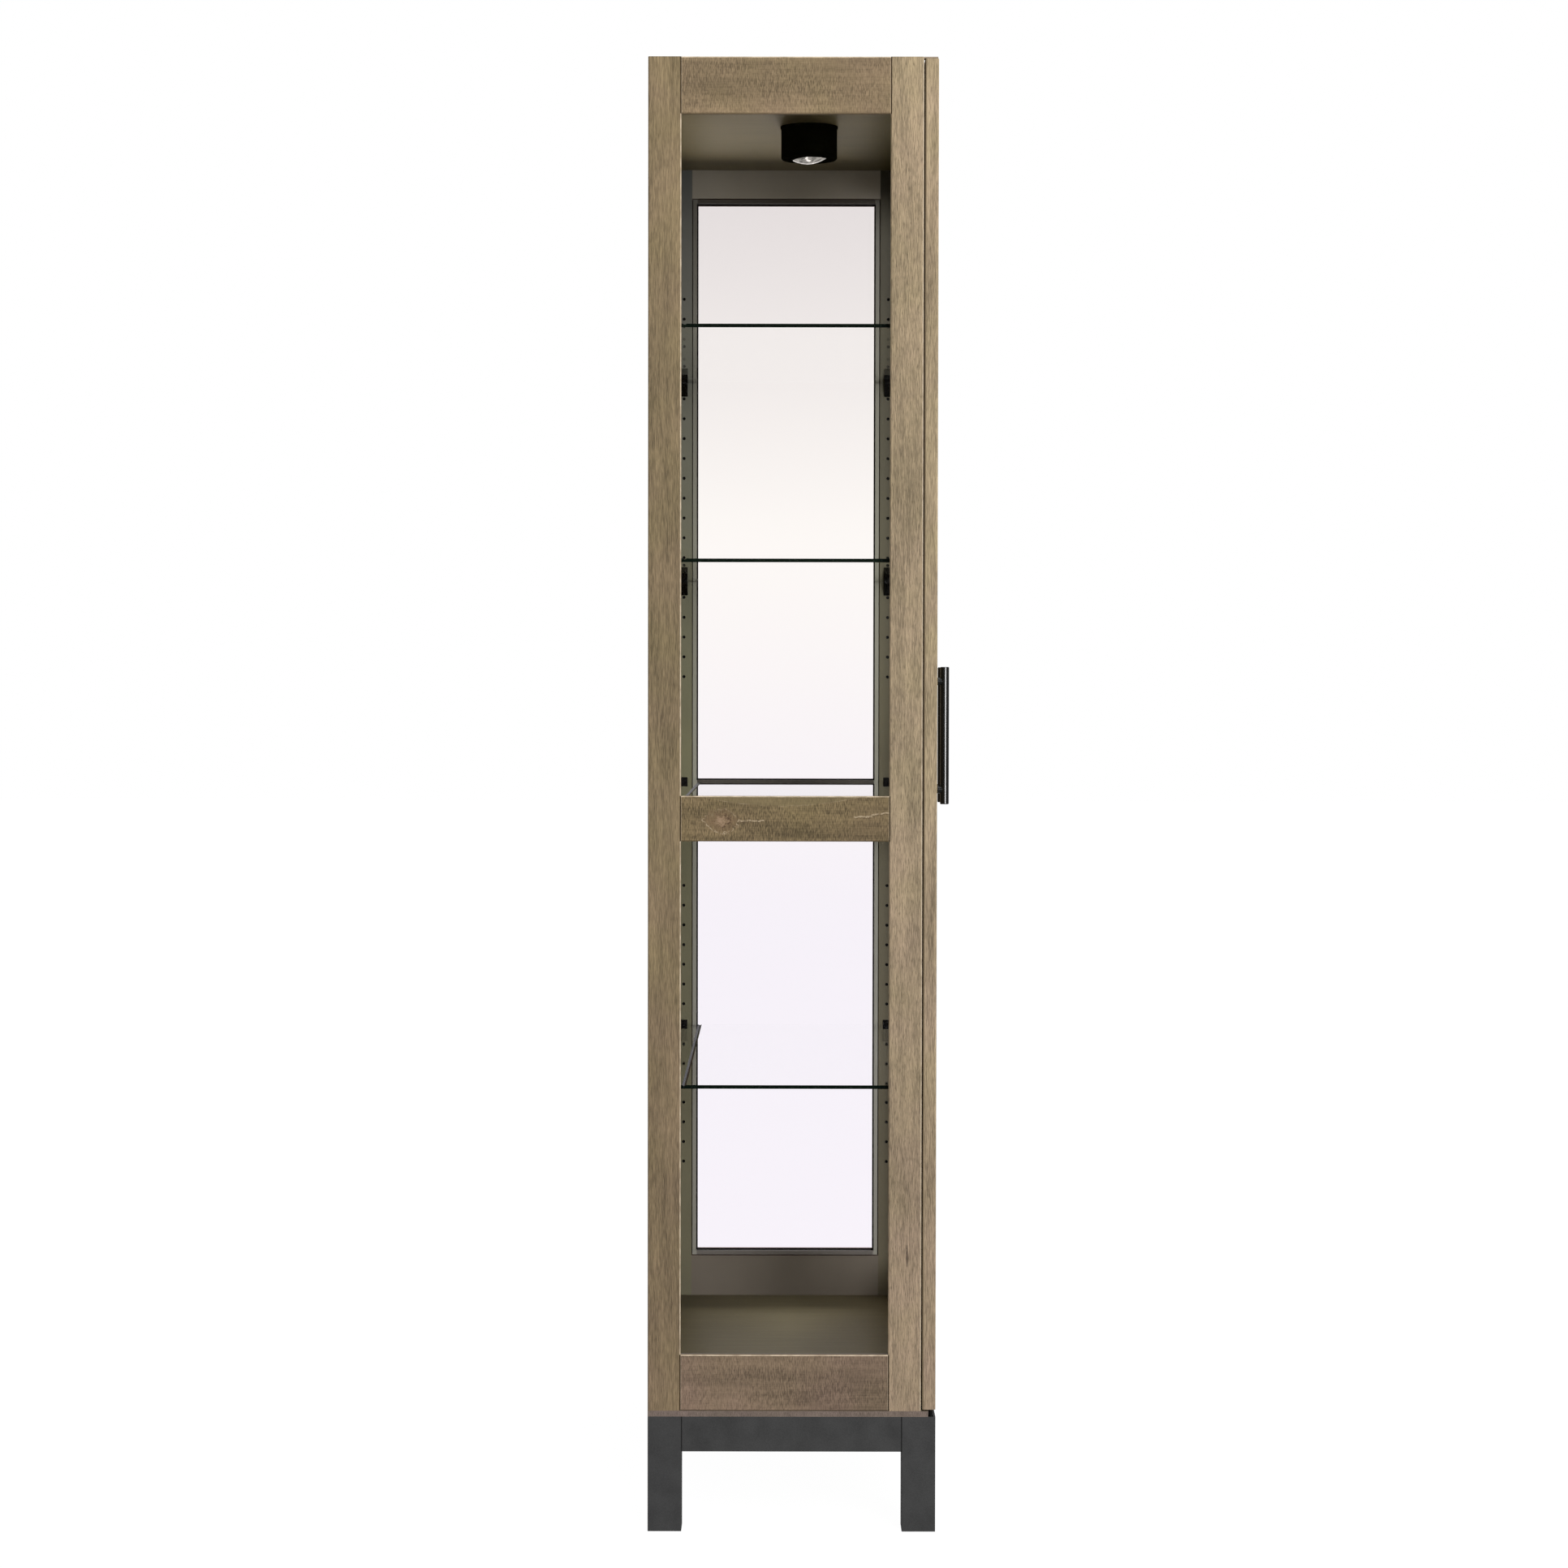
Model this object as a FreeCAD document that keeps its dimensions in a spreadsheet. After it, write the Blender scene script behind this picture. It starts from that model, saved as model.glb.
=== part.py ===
import FreeCAD, Part
import math
import os
import re
import Sketcher

# A tall lighted display case: two glazed side frames, two glazed doors on pivot pins,
# glass shelves on pin supports, a ceiling lamp and a charcoal base.
# Frame: origin at the bottom centre of the whole case, +Z up, front towards -Y, millimetres.

# Driving dimensions
SIZES = {
    # whole case
    "case_width": 914,
    "case_height": 2010,
    "case_depth": 374,
    # side frames
    "frame_thickness": 24,
    "side_lip": 8,
    "stile_width": 45,
    "rail_height": 77,
    "mid_rail_height": 62,
    "mid_rail_centre": 977,
    "rabbet_width": 9.5,
    "edge_ease": 1.5,
    # glazing
    "pane_thickness": 4,
    "pane_clearance": 1,
    "stop_gap": 1.4,
    "stop_reveal": 2.2,
    "stop_recess": 1,
    # panels
    "top_thickness": 22,
    "back_thickness": 6,
    "back_groove": 8,
    "back_clearance": 0.5,
    "board_edge": 8,
    "board_to_pin": 0.2,
    "floor_rise": 3,
    # shelf-pin holes
    "hole_radius": 2.5,
    "hole_depth": 10,
    "hole_pitch": 32,
    "upper_hole_count": 20,
    "lower_hole_count": 15,
    "middle_hole_rise": 27,
    "hole_group_gap": 169,
    # shelves
    "shelf_thickness": 5,
    "shelf_end_gap": 0.5,
    "shelf_front_setback": 10,
    "shelf_back_gap": 3,
    "shelf_edge": 0.8,
    "groove_setback": 40,
    "groove_width": 6,
    "groove_depth": 1.5,
    "top_shelf_step": 15,
    "upper_shelf_step": 5,
    "lower_shelf_step": 7,
    # shelf supports
    "pin_above_shelf": 6,
    "pin_length": 9,
    "pin_clearance": 0.05,
    "support_width": 12,
    "support_plate": 2,
    "support_rise": 7.4,
    "support_drop": 22.5,
    "ledge_length": 11,
    "ledge_thickness": 3,
    # base
    "base_height": 158,
    "leg_width": 46,
    "leg_ease": 0.6,
    "apron_height": 48,
    "apron_thickness": 20,
    "tenon_length": 18,
    "tenon_thickness": 10,
    "tenon_shoulder": 8,
    "tenon_clearance": 0.2,
    "block_reach": 46,
    "block_height": 20,
    "base_screw_radius": 2.5,
    "base_screw_head": 4.5,
    "base_screw_head_height": 3,
    "base_screw_bite": 6,
    "screw_clearance": 0.1,
    # doors
    "door_gap": 2,
    "door_thickness": 18,
    "door_lip": 7,
    "door_stile_width": 88,
    "door_foot_gap": 2,
    "meeting_gap": 3,
    # door pivots
    "pivot_inset": 6,
    "pivot_radius": 3,
    "pivot_clearance": 0.05,
    "pivot_engagement": 16,
    "pivot_end_gap": 1,
    "pivot_flange": 3.8,
    "pivot_flange_height": 1.5,
    "pivot_tail": 15,
    "plate_thickness": 2,
    "plate_width": 16,
    "plate_setback": 3,
    "plate_margin": 1,
    "plate_headroom": 0.5,
    "notch_gap": 5,
    # handles
    "handle_projection": 35,
    "handle_drop": 4,
    "bar_radius": 6.5,
    "bar_length": 203,
    "bar_edge": 0.8,
    "post_radius": 5.5,
    "post_spacing": 160,
    "handle_screw_radius": 2,
    "handle_screw_head": 4,
    "handle_screw_head_height": 2.2,
    "handle_screw_bite": 10,
    "handle_screw_end_gap": 1,
    # catches
    "magnet_radius": 6,
    "magnet_length": 8,
    "magnet_offset": 32,
    "magnet_clearance": 0.1,
    "strike_radius": 7,
    "catch_gap": 0.5,
    # lamp
    "lamp_flange": 1.2,
    "lamp_flange_height": 2.5,
    "lamp_height": 48.5,
    "lamp_wall": 4,
    "lamp_edge": 2,
    "lamp_setback": 153,
    "mouth_gap": 0.7,
    "ball_gap": 7.5,
    "ball_radius": 30,
    "ball_height": 12,
    "ball_crown": 12,
    "ball_cap": 3,
    "bowl_crown_radius": 8,
    "lens_drop": 11,
    "lens_rim": 2.5,
    "lens_ledge": 3,
    "lens_thickness": 3,
    "lens_crown": 7,
    "lens_clearance": 0.1,
    "lamp_tilt": 5,
    "trunnion_radius": 2,
    "trunnion_clearance": 0.05,
    "trunnion_bite": 2,
    "trunnion_end_gap": 0.5,
}

# Places worked out from the driving dimensions, as formulas on the sheet
HALF_WIDTH = "(case_width / 2)"
INNER_X = f"({HALF_WIDTH} - frame_thickness)"
BACK_Y = "((case_depth + door_gap + door_thickness + handle_projection) / 2)"
FRONT_Y = f"({BACK_Y} - case_depth)"
DOOR_BACK_Y = f"({FRONT_Y} - door_gap)"
DOOR_FRONT_Y = f"({DOOR_BACK_Y} - door_thickness)"
PANEL_BACK_Y = f"({BACK_Y} - back_thickness)"

TOP_Z = "case_height"
BOARD_Z = "(base_height + board_edge)"
FLOOR_Z = f"({BOARD_Z} + floor_rise)"
CEILING_Z = f"({TOP_Z} - top_thickness)"
DOOR_FOOT_Z = f"({BOARD_Z} + door_foot_gap)"
LOWER_OPENING = (f"({BOARD_Z} + rail_height)", "(mid_rail_centre - mid_rail_height / 2)")
UPPER_OPENING = ("(mid_rail_centre + mid_rail_height / 2)", f"({TOP_Z} - rail_height)")

MIDDLE_HOLE_Z = "(mid_rail_centre + middle_hole_rise)"
UPPER_HOLES_Z = f"({MIDDLE_HOLE_Z} + hole_group_gap)"
LOWER_HOLES_Z = f"({MIDDLE_HOLE_Z} - hole_group_gap)"
BACK_HOLES_Y = f"({BACK_Y} - stile_width / 2)"
FRONT_HOLES_Y = f"({FRONT_Y} + stile_width / 2)"

PIVOT_X = f"({HALF_WIDTH} - pivot_inset)"
PIVOT_Y = f"({DOOR_FRONT_Y} + pivot_inset)"
BOARD_FRONT_Y = f"({PIVOT_Y} + pivot_flange + board_to_pin)"
PLATE_BACK_Y = f"({FRONT_Y} + stile_width - rabbet_width - plate_setback)"
HANDLE_X = "(meeting_gap / 2 + door_stile_width / 2)"
HANDLE_Y = f"({DOOR_FRONT_Y} - handle_projection + bar_radius)"
HANDLE_Z = f"(({DOOR_FOOT_Z} + {TOP_Z}) / 2 - handle_drop)"
MAGNET_Z = f"({TOP_Z} - top_thickness / 2)"
LAMP_Y = f"({FRONT_Y} + lamp_setback)"
BALL_Z = f"({CEILING_Z} - lamp_height + ball_height)"
LAMP_INNER_RADIUS = "(ball_radius + ball_gap)"
LAMP_RADIUS = f"({LAMP_INNER_RADIUS} + lamp_wall)"
LAMP_MOUTH_RADIUS = "(sqrt(ball_radius^2 - (ball_height - lamp_wall)^2) + mouth_gap)"
LENS_SEAT_RADIUS = "(sqrt(ball_radius^2 - lens_drop^2) - lens_rim)"

SIDES = (("left", "-"), ("right", "+"))
ALONG_X = FreeCAD.Vector(1, 0, 0)
ALONG_Y = FreeCAD.Vector(0, 1, 0)
UP = FreeCAD.Vector(0, 0, 1)

doc = FreeCAD.newDocument("DisplayCase")
sheet = doc.addObject("Spreadsheet::Sheet", "Sizes")
for row, (alias, value) in enumerate(SIZES.items(), start=1):
    sheet.set(f"A{row}", alias)
    sheet.set(f"B{row}", str(value))
    sheet.setAlias(f"B{row}", alias)
doc.recompute()

nodes = []


# Formulas and document objects

def formula(text):
    """The sheet's own form of a formula that is written with plain size names."""
    def on_sheet(match):
        word = match.group()
        return f"Sizes.{word}" if word in SIZES else word
    return re.sub(r"[a-z_]+", on_sheet, text)


def bind(item, **formulas):
    """Bind properties, written with __ for a dot, to formulas."""
    for name, text in formulas.items():
        item.setExpression(name.replace("__", "."), formula(text))


def place(item, x="0", y="0", z="0"):
    bind(item, Placement__Base__x=x, Placement__Base__y=y, Placement__Base__z=z)


def turn(item, axis, angle):
    """Turn an object about an axis through its own origin, by a formula in degrees."""
    item.Placement = FreeCAD.Placement(FreeCAD.Vector(), FreeCAD.Rotation(axis, 1))
    bind(item, Placement__Rotation__Angle=angle)


def node(item, label):
    """Name an object as one of the finished pieces."""
    item.Label = label
    nodes.append(item)
    return item


def signed(sign, text):
    return f"({sign}1 * ({text}))"


def span(sign, inner, outer):
    """Low and high X of a stretch that is given by distances from the middle plane."""
    if sign == "-":
        return signed(sign, outer), signed(sign, inner)
    return inner, outer


# Sketches and features

def new_body(name):
    return doc.addObject("PartDesign::Body", name)


def new_sketch(body, role, offset):
    plane = next(item for item in body.Origin.OriginFeatures if item.Role == role)
    sketch = body.newObject("Sketcher::SketchObject", f"{body.Name}_sketch")
    sketch.AttachmentSupport = [(plane, "")]
    sketch.MapMode = "FlatFace"
    bind(sketch, AttachmentOffset__Base__z=offset)
    return sketch


def fix(sketch, kind, geometry, point, start, text):
    constraint = Sketcher.Constraint(kind, -1, 1, geometry, point, start)
    index = sketch.addConstraint(constraint)
    sketch.setExpression(f"Constraints[{index}]", formula(text))


def draw_outline(sketch, corners):
    """A closed outline whose corners are pairs of formulas."""
    count = len(corners)
    step = 2 * math.pi / count
    points = [FreeCAD.Vector(math.cos(k * step), math.sin(k * step), 0) for k in range(count)]
    lines = [Part.LineSegment(points[k], points[(k + 1) % count]) for k in range(count)]
    sketch.addGeometry(lines, False)
    for k in range(count):
        sketch.addConstraint(Sketcher.Constraint("Coincident", k, 2, (k + 1) % count, 1))
    for k, (across, up) in enumerate(corners):
        fix(sketch, "DistanceX", k, 1, points[k].x, across)
        fix(sketch, "DistanceY", k, 1, points[k].y, up)


def draw_circles(sketch, circles):
    """Circles given by formulas for their centres and radii."""
    for k, (across, up, radius) in enumerate(circles):
        centre = FreeCAD.Vector(k * 4, 1, 0)
        sketch.addGeometry(Part.Circle(centre, UP, 1), False)
        index = sketch.addConstraint(Sketcher.Constraint("Radius", k, 1))
        sketch.setExpression(f"Constraints[{index}]", formula(radius))
        fix(sketch, "DistanceX", k, 3, centre.x, across)
        fix(sketch, "DistanceY", k, 3, centre.y, up)


def pad(body, role, offset, length, corners=None, circles=None):
    sketch = new_sketch(body, role, offset)
    if corners:
        draw_outline(sketch, corners)
    else:
        draw_circles(sketch, circles)
    feature = body.newObject("PartDesign::Pad", f"{body.Name}_pad")
    feature.Profile = sketch
    bind(feature, Length=length)
    return feature


def pocket(body, role, offset, depth, corners=None, circles=None, along_normal=False):
    """A cut against the sketch's normal, or along it."""
    sketch = new_sketch(body, role, offset)
    if corners:
        draw_outline(sketch, corners)
    else:
        draw_circles(sketch, circles)
    feature = body.newObject("PartDesign::Pocket", f"{body.Name}_pocket")
    feature.Profile = sketch
    feature.Reversed = along_normal
    bind(feature, Length=depth)
    return feature


def prism_x(body, low, high, corners):
    return pad(body, "YZ_Plane", low, f"{high} - ({low})", corners)


def prism_y(body, low, high, corners):
    return pad(body, "XZ_Plane", f"-1 * ({high})", f"{high} - ({low})", corners)


def prism_z(body, low, high, corners):
    return pad(body, "XY_Plane", low, f"{high} - ({low})", corners)


def turned(body, corners):
    """A body of revolution about its own Z axis, from (radius, height) corners."""
    sketch = new_sketch(body, "XZ_Plane", "0")
    draw_outline(sketch, corners)
    feature = body.newObject("PartDesign::Revolution", f"{body.Name}_turned")
    feature.Profile = sketch
    feature.ReferenceAxis = (sketch, ["V_Axis"])
    feature.Angle = 360
    return feature


def repeat(body, feature, count, pitch, downwards):
    """A column of copies of one cut."""
    pattern = body.newObject("PartDesign::LinearPattern", f"{body.Name}_column")
    pattern.Originals = [feature]
    pattern.Direction = (feature.Profile[0], ["V_Axis"])
    pattern.Reversed = downwards
    bind(pattern, Length=f"{pitch} * ({count} - 1)", Occurrences=count)
    body.Tip = pattern


def box(name, low, high):
    item = doc.addObject("Part::Box", name)
    place(item, *low)
    extents = [f"{high[k]} - ({low[k]})" for k in range(3)]
    bind(item, Length=extents[0], Width=extents[1], Height=extents[2])
    return item


def cylinder(name, radius, length, axis=None, **spot):
    """A cylinder along Z, or along Y or X after a quarter turn."""
    item = doc.addObject("Part::Cylinder", name)
    bind(item, Radius=radius, Height=length)
    if axis:
        turn(item, axis, "90")
    place(item, **spot)
    return item


def cut(name, base, tool):
    item = doc.addObject("Part::Cut", name)
    item.Base = base
    item.Tool = tool
    return item


def fuse(name, pieces):
    item = doc.addObject("Part::MultiFuse", name)
    item.Shapes = pieces
    return item


def group(label, pieces):
    """Several separate solids that share one node."""
    item = doc.addObject("Part::Compound", label)
    item.Links = pieces
    return node(item, label)


def copy_of(master, spot, axis=None, angle="0"):
    """One more of a piece, at a spot and turned about an axis."""
    item = doc.addObject("App::Link", f"{master.Name}_copy")
    item.LinkedObject = master
    if axis:
        turn(item, axis, angle)
    place(item, *spot)
    return item


# Glazed frames: depth counts from the show face, run lies along the frame

class SideFrame:
    """One side of the case, whose show face looks outwards along X."""
    thickness = "frame_thickness"
    lip = "side_lip"

    def __init__(self, sign):
        self.sign = sign

    def corner(self, depth, run):
        return signed(self.sign, f"{HALF_WIDTH} - ({depth})"), run

    def solid(self, name, depths, runs, heights):
        low_x, high_x = span(self.sign, f"{HALF_WIDTH} - ({depths[1]})", f"{HALF_WIDTH} - ({depths[0]})")
        return box(name, (low_x, runs[0], heights[0]), (high_x, runs[1], heights[1]))

    def bar(self, body, runs, profile):
        outline = [(signed(self.sign, f"{HALF_WIDTH} - ({depth})"), z) for depth, z in profile]
        prism_y(body, runs[0], runs[1], outline)


class DoorFrame:
    """A door, whose show face looks forwards along -Y."""
    thickness = "door_thickness"
    lip = "door_lip"

    def corner(self, depth, run):
        return run, f"{DOOR_FRONT_Y} + {depth}"

    def solid(self, name, depths, runs, heights):
        low = (runs[0], f"{DOOR_FRONT_Y} + {depths[0]}", heights[0])
        high = (runs[1], f"{DOOR_FRONT_Y} + {depths[1]}", heights[1])
        return box(name, low, high)

    def bar(self, body, runs, profile):
        outline = [(f"{DOOR_FRONT_Y} + {depth}", z) for depth, z in profile]
        prism_x(body, runs[0], runs[1], outline)


def upright(frame, label, edge, inward, width, heights, back_rabbet=False):
    """A stile: inward is the sign of the run from its outer edge to the glass."""
    def at(distance):
        return f"{edge} {inward} ({distance})"
    thickness = frame.thickness
    rabbet_wall = at(f"{width} - rabbet_width")
    corners = [
        frame.corner("0", at("edge_ease")),
        frame.corner("0", at(f"{width} - edge_ease")),
        frame.corner("edge_ease", at(width)),
        frame.corner(frame.lip, at(width)),
        frame.corner(frame.lip, rabbet_wall),
        frame.corner(thickness, rabbet_wall),
    ]
    if back_rabbet:
        corners += [
            frame.corner(thickness, at("back_thickness")),
            frame.corner(f"{thickness} - back_groove", at("back_thickness")),
            frame.corner(f"{thickness} - back_groove", at("0")),
        ]
    else:
        corners += [
            frame.corner(thickness, at("edge_ease")),
            frame.corner(f"{thickness} - edge_ease", at("0")),
        ]
    corners.append(frame.corner("edge_ease", at("0")))
    body = new_body(label)
    prism_z(body, heights[0], heights[1], corners)
    return node(body, label)


def rail(frame, label, runs, heights, glass_below, glass_above):
    """A rail: its lip fits between the stiles, and its core laps into their rabbets."""
    low, high = heights
    core_low = f"{low} + rabbet_width" if glass_below else low
    core_high = f"{high} - rabbet_width" if glass_above else high
    body = new_body(label)
    frame.bar(body, runs, [
        ("0", f"{low} + edge_ease"),
        ("edge_ease", low),
        (frame.lip, low),
        (frame.lip, high),
        ("edge_ease", high),
        ("0", f"{high} - edge_ease"),
    ])
    frame.bar(body, (f"{runs[0]} - rabbet_width", f"{runs[1]} + rabbet_width"), [
        (frame.lip, core_low),
        (frame.thickness, core_low),
        (frame.thickness, core_high),
        (frame.lip, core_high),
    ])
    return node(body, label)


def pane(frame, name, runs, heights):
    reach = "(rabbet_width - pane_clearance)"
    depths = (frame.lip, f"{frame.lip} + pane_thickness")
    wide = (f"{runs[0]} - {reach}", f"{runs[1]} + {reach}")
    tall = (f"{heights[0]} - {reach}", f"{heights[1]} + {reach}")
    return frame.solid(name, depths, wide, tall)


def stops(frame, name, runs, heights):
    """Four strips that hold one pane against the lip from inside, and leave the lip's edge in view."""
    reach = "(rabbet_width - stop_gap)"
    depths = (f"{frame.lip} + pane_thickness", f"{frame.thickness} - stop_recess")
    first, last = f"({runs[0]} - stop_reveal)", f"({runs[1]} + stop_reveal)"
    low, high = f"({heights[0]} - stop_reveal)", f"({heights[1]} + stop_reveal)"
    tall = (f"{heights[0]} - {reach}", f"{heights[1]} + {reach}")
    return [
        frame.solid(f"{name}_first", depths, (f"{runs[0]} - {reach}", first), tall),
        frame.solid(f"{name}_last", depths, (last, f"{runs[1]} + {reach}"), tall),
        frame.solid(f"{name}_low", depths, (first, last), (tall[0], low)),
        frame.solid(f"{name}_high", depths, (first, last), (high, tall[1])),
    ]


def frame_rails(frame, side, runs, foot):
    rail(frame, f"{side}_top_rail", runs, (UPPER_OPENING[1], TOP_Z), True, False)
    rail(frame, f"{side}_mid_rail", runs, (LOWER_OPENING[1], UPPER_OPENING[0]), True, True)
    rail(frame, f"{side}_bottom_rail", runs, (foot, LOWER_OPENING[0]), False, True)


# Side frames

def pin_holes(body, sign, column_y):
    """The shelf-pin holes of one stile: two columns and one hole half-way between them."""
    def hole(height):
        return pocket(body, "YZ_Plane", signed(sign, INNER_X), "hole_depth",
                      circles=[(column_y, height, "hole_radius")], along_normal=sign == "+")
    repeat(body, hole(UPPER_HOLES_Z), "upper_hole_count", "hole_pitch", False)
    repeat(body, hole(LOWER_HOLES_Z), "lower_hole_count", "hole_pitch", True)
    hole(MIDDLE_HOLE_Z)


def side_frame(side, sign):
    frame = SideFrame(sign)
    heights = (BOARD_Z, TOP_Z)
    runs = (f"({FRONT_Y} + stile_width)", f"({BACK_Y} - stile_width)")
    back = upright(frame, f"{side}_back_stile", BACK_Y, "-", "stile_width", heights, back_rabbet=True)
    pin_holes(back, sign, BACK_HOLES_Y)
    front = upright(frame, f"{side}_front_stile", FRONT_Y, "+", "stile_width", heights)
    pin_holes(front, sign, FRONT_HOLES_Y)
    low_x, high_x = pivot_plate_span(sign)
    pocket(front, "XY_Plane", TOP_Z, "plate_thickness", corners=[
        (low_x, f"{FRONT_Y} - door_gap"),
        (high_x, f"{FRONT_Y} - door_gap"),
        (high_x, PLATE_BACK_Y),
        (low_x, PLATE_BACK_Y),
    ])
    frame_rails(frame, side, runs, BOARD_Z)
    node(pane(frame, f"{side}_upper_glass", runs, UPPER_OPENING), f"{side}_upper_glass")
    node(pane(frame, f"{side}_lower_glass", runs, LOWER_OPENING), f"{side}_lower_glass")
    strips = stops(frame, f"{side}_upper_stop", runs, UPPER_OPENING)
    strips += stops(frame, f"{side}_lower_stop", runs, LOWER_OPENING)
    group(f"{side}_glass_stops", strips)


# Panels

def top_panel():
    """The ceiling board, with a blind bore in its front edge for each door's magnet."""
    low = (f"-1 * {INNER_X}", FRONT_Y, CEILING_Z)
    board = box("top_board", low, (INNER_X, PANEL_BACK_Y, TOP_Z))
    bores = []
    magnets = []
    for side, sign in SIDES:
        spot = {"x": signed(sign, "magnet_offset"), "y": f"{FRONT_Y} + magnet_length", "z": MAGNET_Z}
        loose = "magnet_radius + magnet_clearance"
        bores.append(cylinder(f"{side}_magnet_bore", loose, "magnet_length", ALONG_X, **spot))
        magnets.append(cylinder(f"{side}_magnet", "magnet_radius", "magnet_length", ALONG_X, **spot))
    node(cut("top_panel_bored", board, fuse("magnet_bores", bores)), "top_panel")
    group("door_magnets", magnets)


def bottom_board():
    """A thin board under the side frames, thicker between them, with pilot holes for the base screws."""
    body = new_body("bottom_board")
    outer = [(f"-1 * {HALF_WIDTH}", "base_height"), (HALF_WIDTH, "base_height"),
             (HALF_WIDTH, BOARD_Z), (f"-1 * {HALF_WIDTH}", BOARD_Z)]
    prism_y(body, BOARD_FRONT_Y, BACK_Y, outer)
    inner = [(f"-1 * {INNER_X}", BOARD_Z), (INNER_X, BOARD_Z),
             (INNER_X, FLOOR_Z), (f"-1 * {INNER_X}", FLOOR_Z)]
    prism_y(body, FRONT_Y, PANEL_BACK_Y, inner)
    pilots = [(x, y, "base_screw_radius + screw_clearance") for x, y in base_screw_spots()]
    pocket(body, "XY_Plane", "base_height", "base_screw_bite", circles=pilots, along_normal=True)
    node(body, "bottom_board")


def back_panel():
    reach = f"({INNER_X} + back_groove - back_clearance)"
    panel = box("back_sheet", (f"-1 * {reach}", PANEL_BACK_Y, BOARD_Z), (reach, BACK_Y, TOP_Z))
    node(panel, "back_panel")


# Shelves and their supports

SHELF_HOLES = {
    "top_shelf": f"({UPPER_HOLES_Z} + top_shelf_step * hole_pitch)",
    "upper_shelf": f"({UPPER_HOLES_Z} + upper_shelf_step * hole_pitch)",
    "middle_shelf": MIDDLE_HOLE_Z,
    "lower_shelf": f"({LOWER_HOLES_Z} - lower_shelf_step * hole_pitch)",
}


def glass_shelf(label, hole_z):
    """A glass shelf with eased edges and a plate groove along its back."""
    front = f"({FRONT_Y} + shelf_front_setback)"
    back = f"({PANEL_BACK_Y} - shelf_back_gap)"
    groove = f"({back} - groove_setback)"
    under = f"({hole_z} - pin_above_shelf)"
    over = f"({under} + shelf_thickness)"
    profile = [
        (f"{front} + shelf_edge", under),
        (f"{back} - shelf_edge", under),
        (back, f"{under} + shelf_edge"),
        (back, f"{over} - shelf_edge"),
        (f"{back} - shelf_edge", over),
        (f"{groove} + groove_width / 2", over),
        (groove, f"{over} - groove_depth"),
        (f"{groove} - groove_width / 2", over),
        (f"{front} + shelf_edge", over),
        (front, f"{over} - shelf_edge"),
        (front, f"{under} + shelf_edge"),
    ]
    reach = f"({INNER_X} - support_plate - shelf_end_gap)"
    body = new_body(label)
    prism_x(body, f"-1 * {reach}", reach, profile)
    node(body, label)


def shelf_support():
    """One support, with its back at X = 0 and the underside of the shelf at Z = 0."""
    body = new_body("shelf_support")
    crest = "shelf_thickness + support_rise"
    prism_y(body, "-1 * support_width / 2", "support_width / 2", [
        ("0", "-1 * support_drop"),
        ("support_plate", "-1 * support_drop"),
        ("ledge_length", "-1 * ledge_thickness"),
        ("ledge_length", "0"),
        ("support_plate", "0"),
        ("support_plate", crest),
        ("0", crest),
    ])
    pad(body, "YZ_Plane", "-1 * pin_length", "pin_length",
        circles=[("0", "pin_above_shelf", "hole_radius - pin_clearance")])
    return body


def shelves():
    support = shelf_support()
    supports = []
    for label, hole_z in SHELF_HOLES.items():
        glass_shelf(label, hole_z)
        for side, sign in SIDES:
            for column_y in (BACK_HOLES_Y, FRONT_HOLES_Y):
                spot = (signed(sign, INNER_X), column_y, f"{hole_z} - pin_above_shelf")
                half_turn = "180" if sign == "+" else "0"
                supports.append(copy_of(support, spot, UP, half_turn))
    group("shelf_supports", supports)


# Base

LEG_BACK_Y = f"({BACK_Y} - leg_width)"
LEG_FRONT_Y = f"({DOOR_FRONT_Y} + leg_width)"
LEG_INNER_X = f"({HALF_WIDTH} - leg_width)"
APRON_FOOT_Z = "(base_height - apron_height)"
CORNERS = [(depth, side, sign) for depth in ("front", "back") for side, sign in SIDES]


def corner_spot(depth, sign, from_side, from_end):
    """A point of a base corner, by its distances from the case's side and from its front or back."""
    x = signed(sign, f"{HALF_WIDTH} - ({from_side})")
    y = f"({DOOR_FRONT_Y} + {from_end})" if depth == "front" else f"({BACK_Y} - ({from_end}))"
    return x, y


def rectangle(depth, sign, side_span, end_span):
    return [
        corner_spot(depth, sign, side_span[0], end_span[0]),
        corner_spot(depth, sign, side_span[1], end_span[0]),
        corner_spot(depth, sign, side_span[1], end_span[1]),
        corner_spot(depth, sign, side_span[0], end_span[1]),
    ]


def base_screw_spots():
    """Where a screw goes up through each corner block into the bottom board."""
    inset = "(leg_width + (leg_width + block_reach + apron_thickness) / 2) / 2"
    return [corner_spot(depth, sign, inset, inset) for depth, side, sign in CORNERS]


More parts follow.
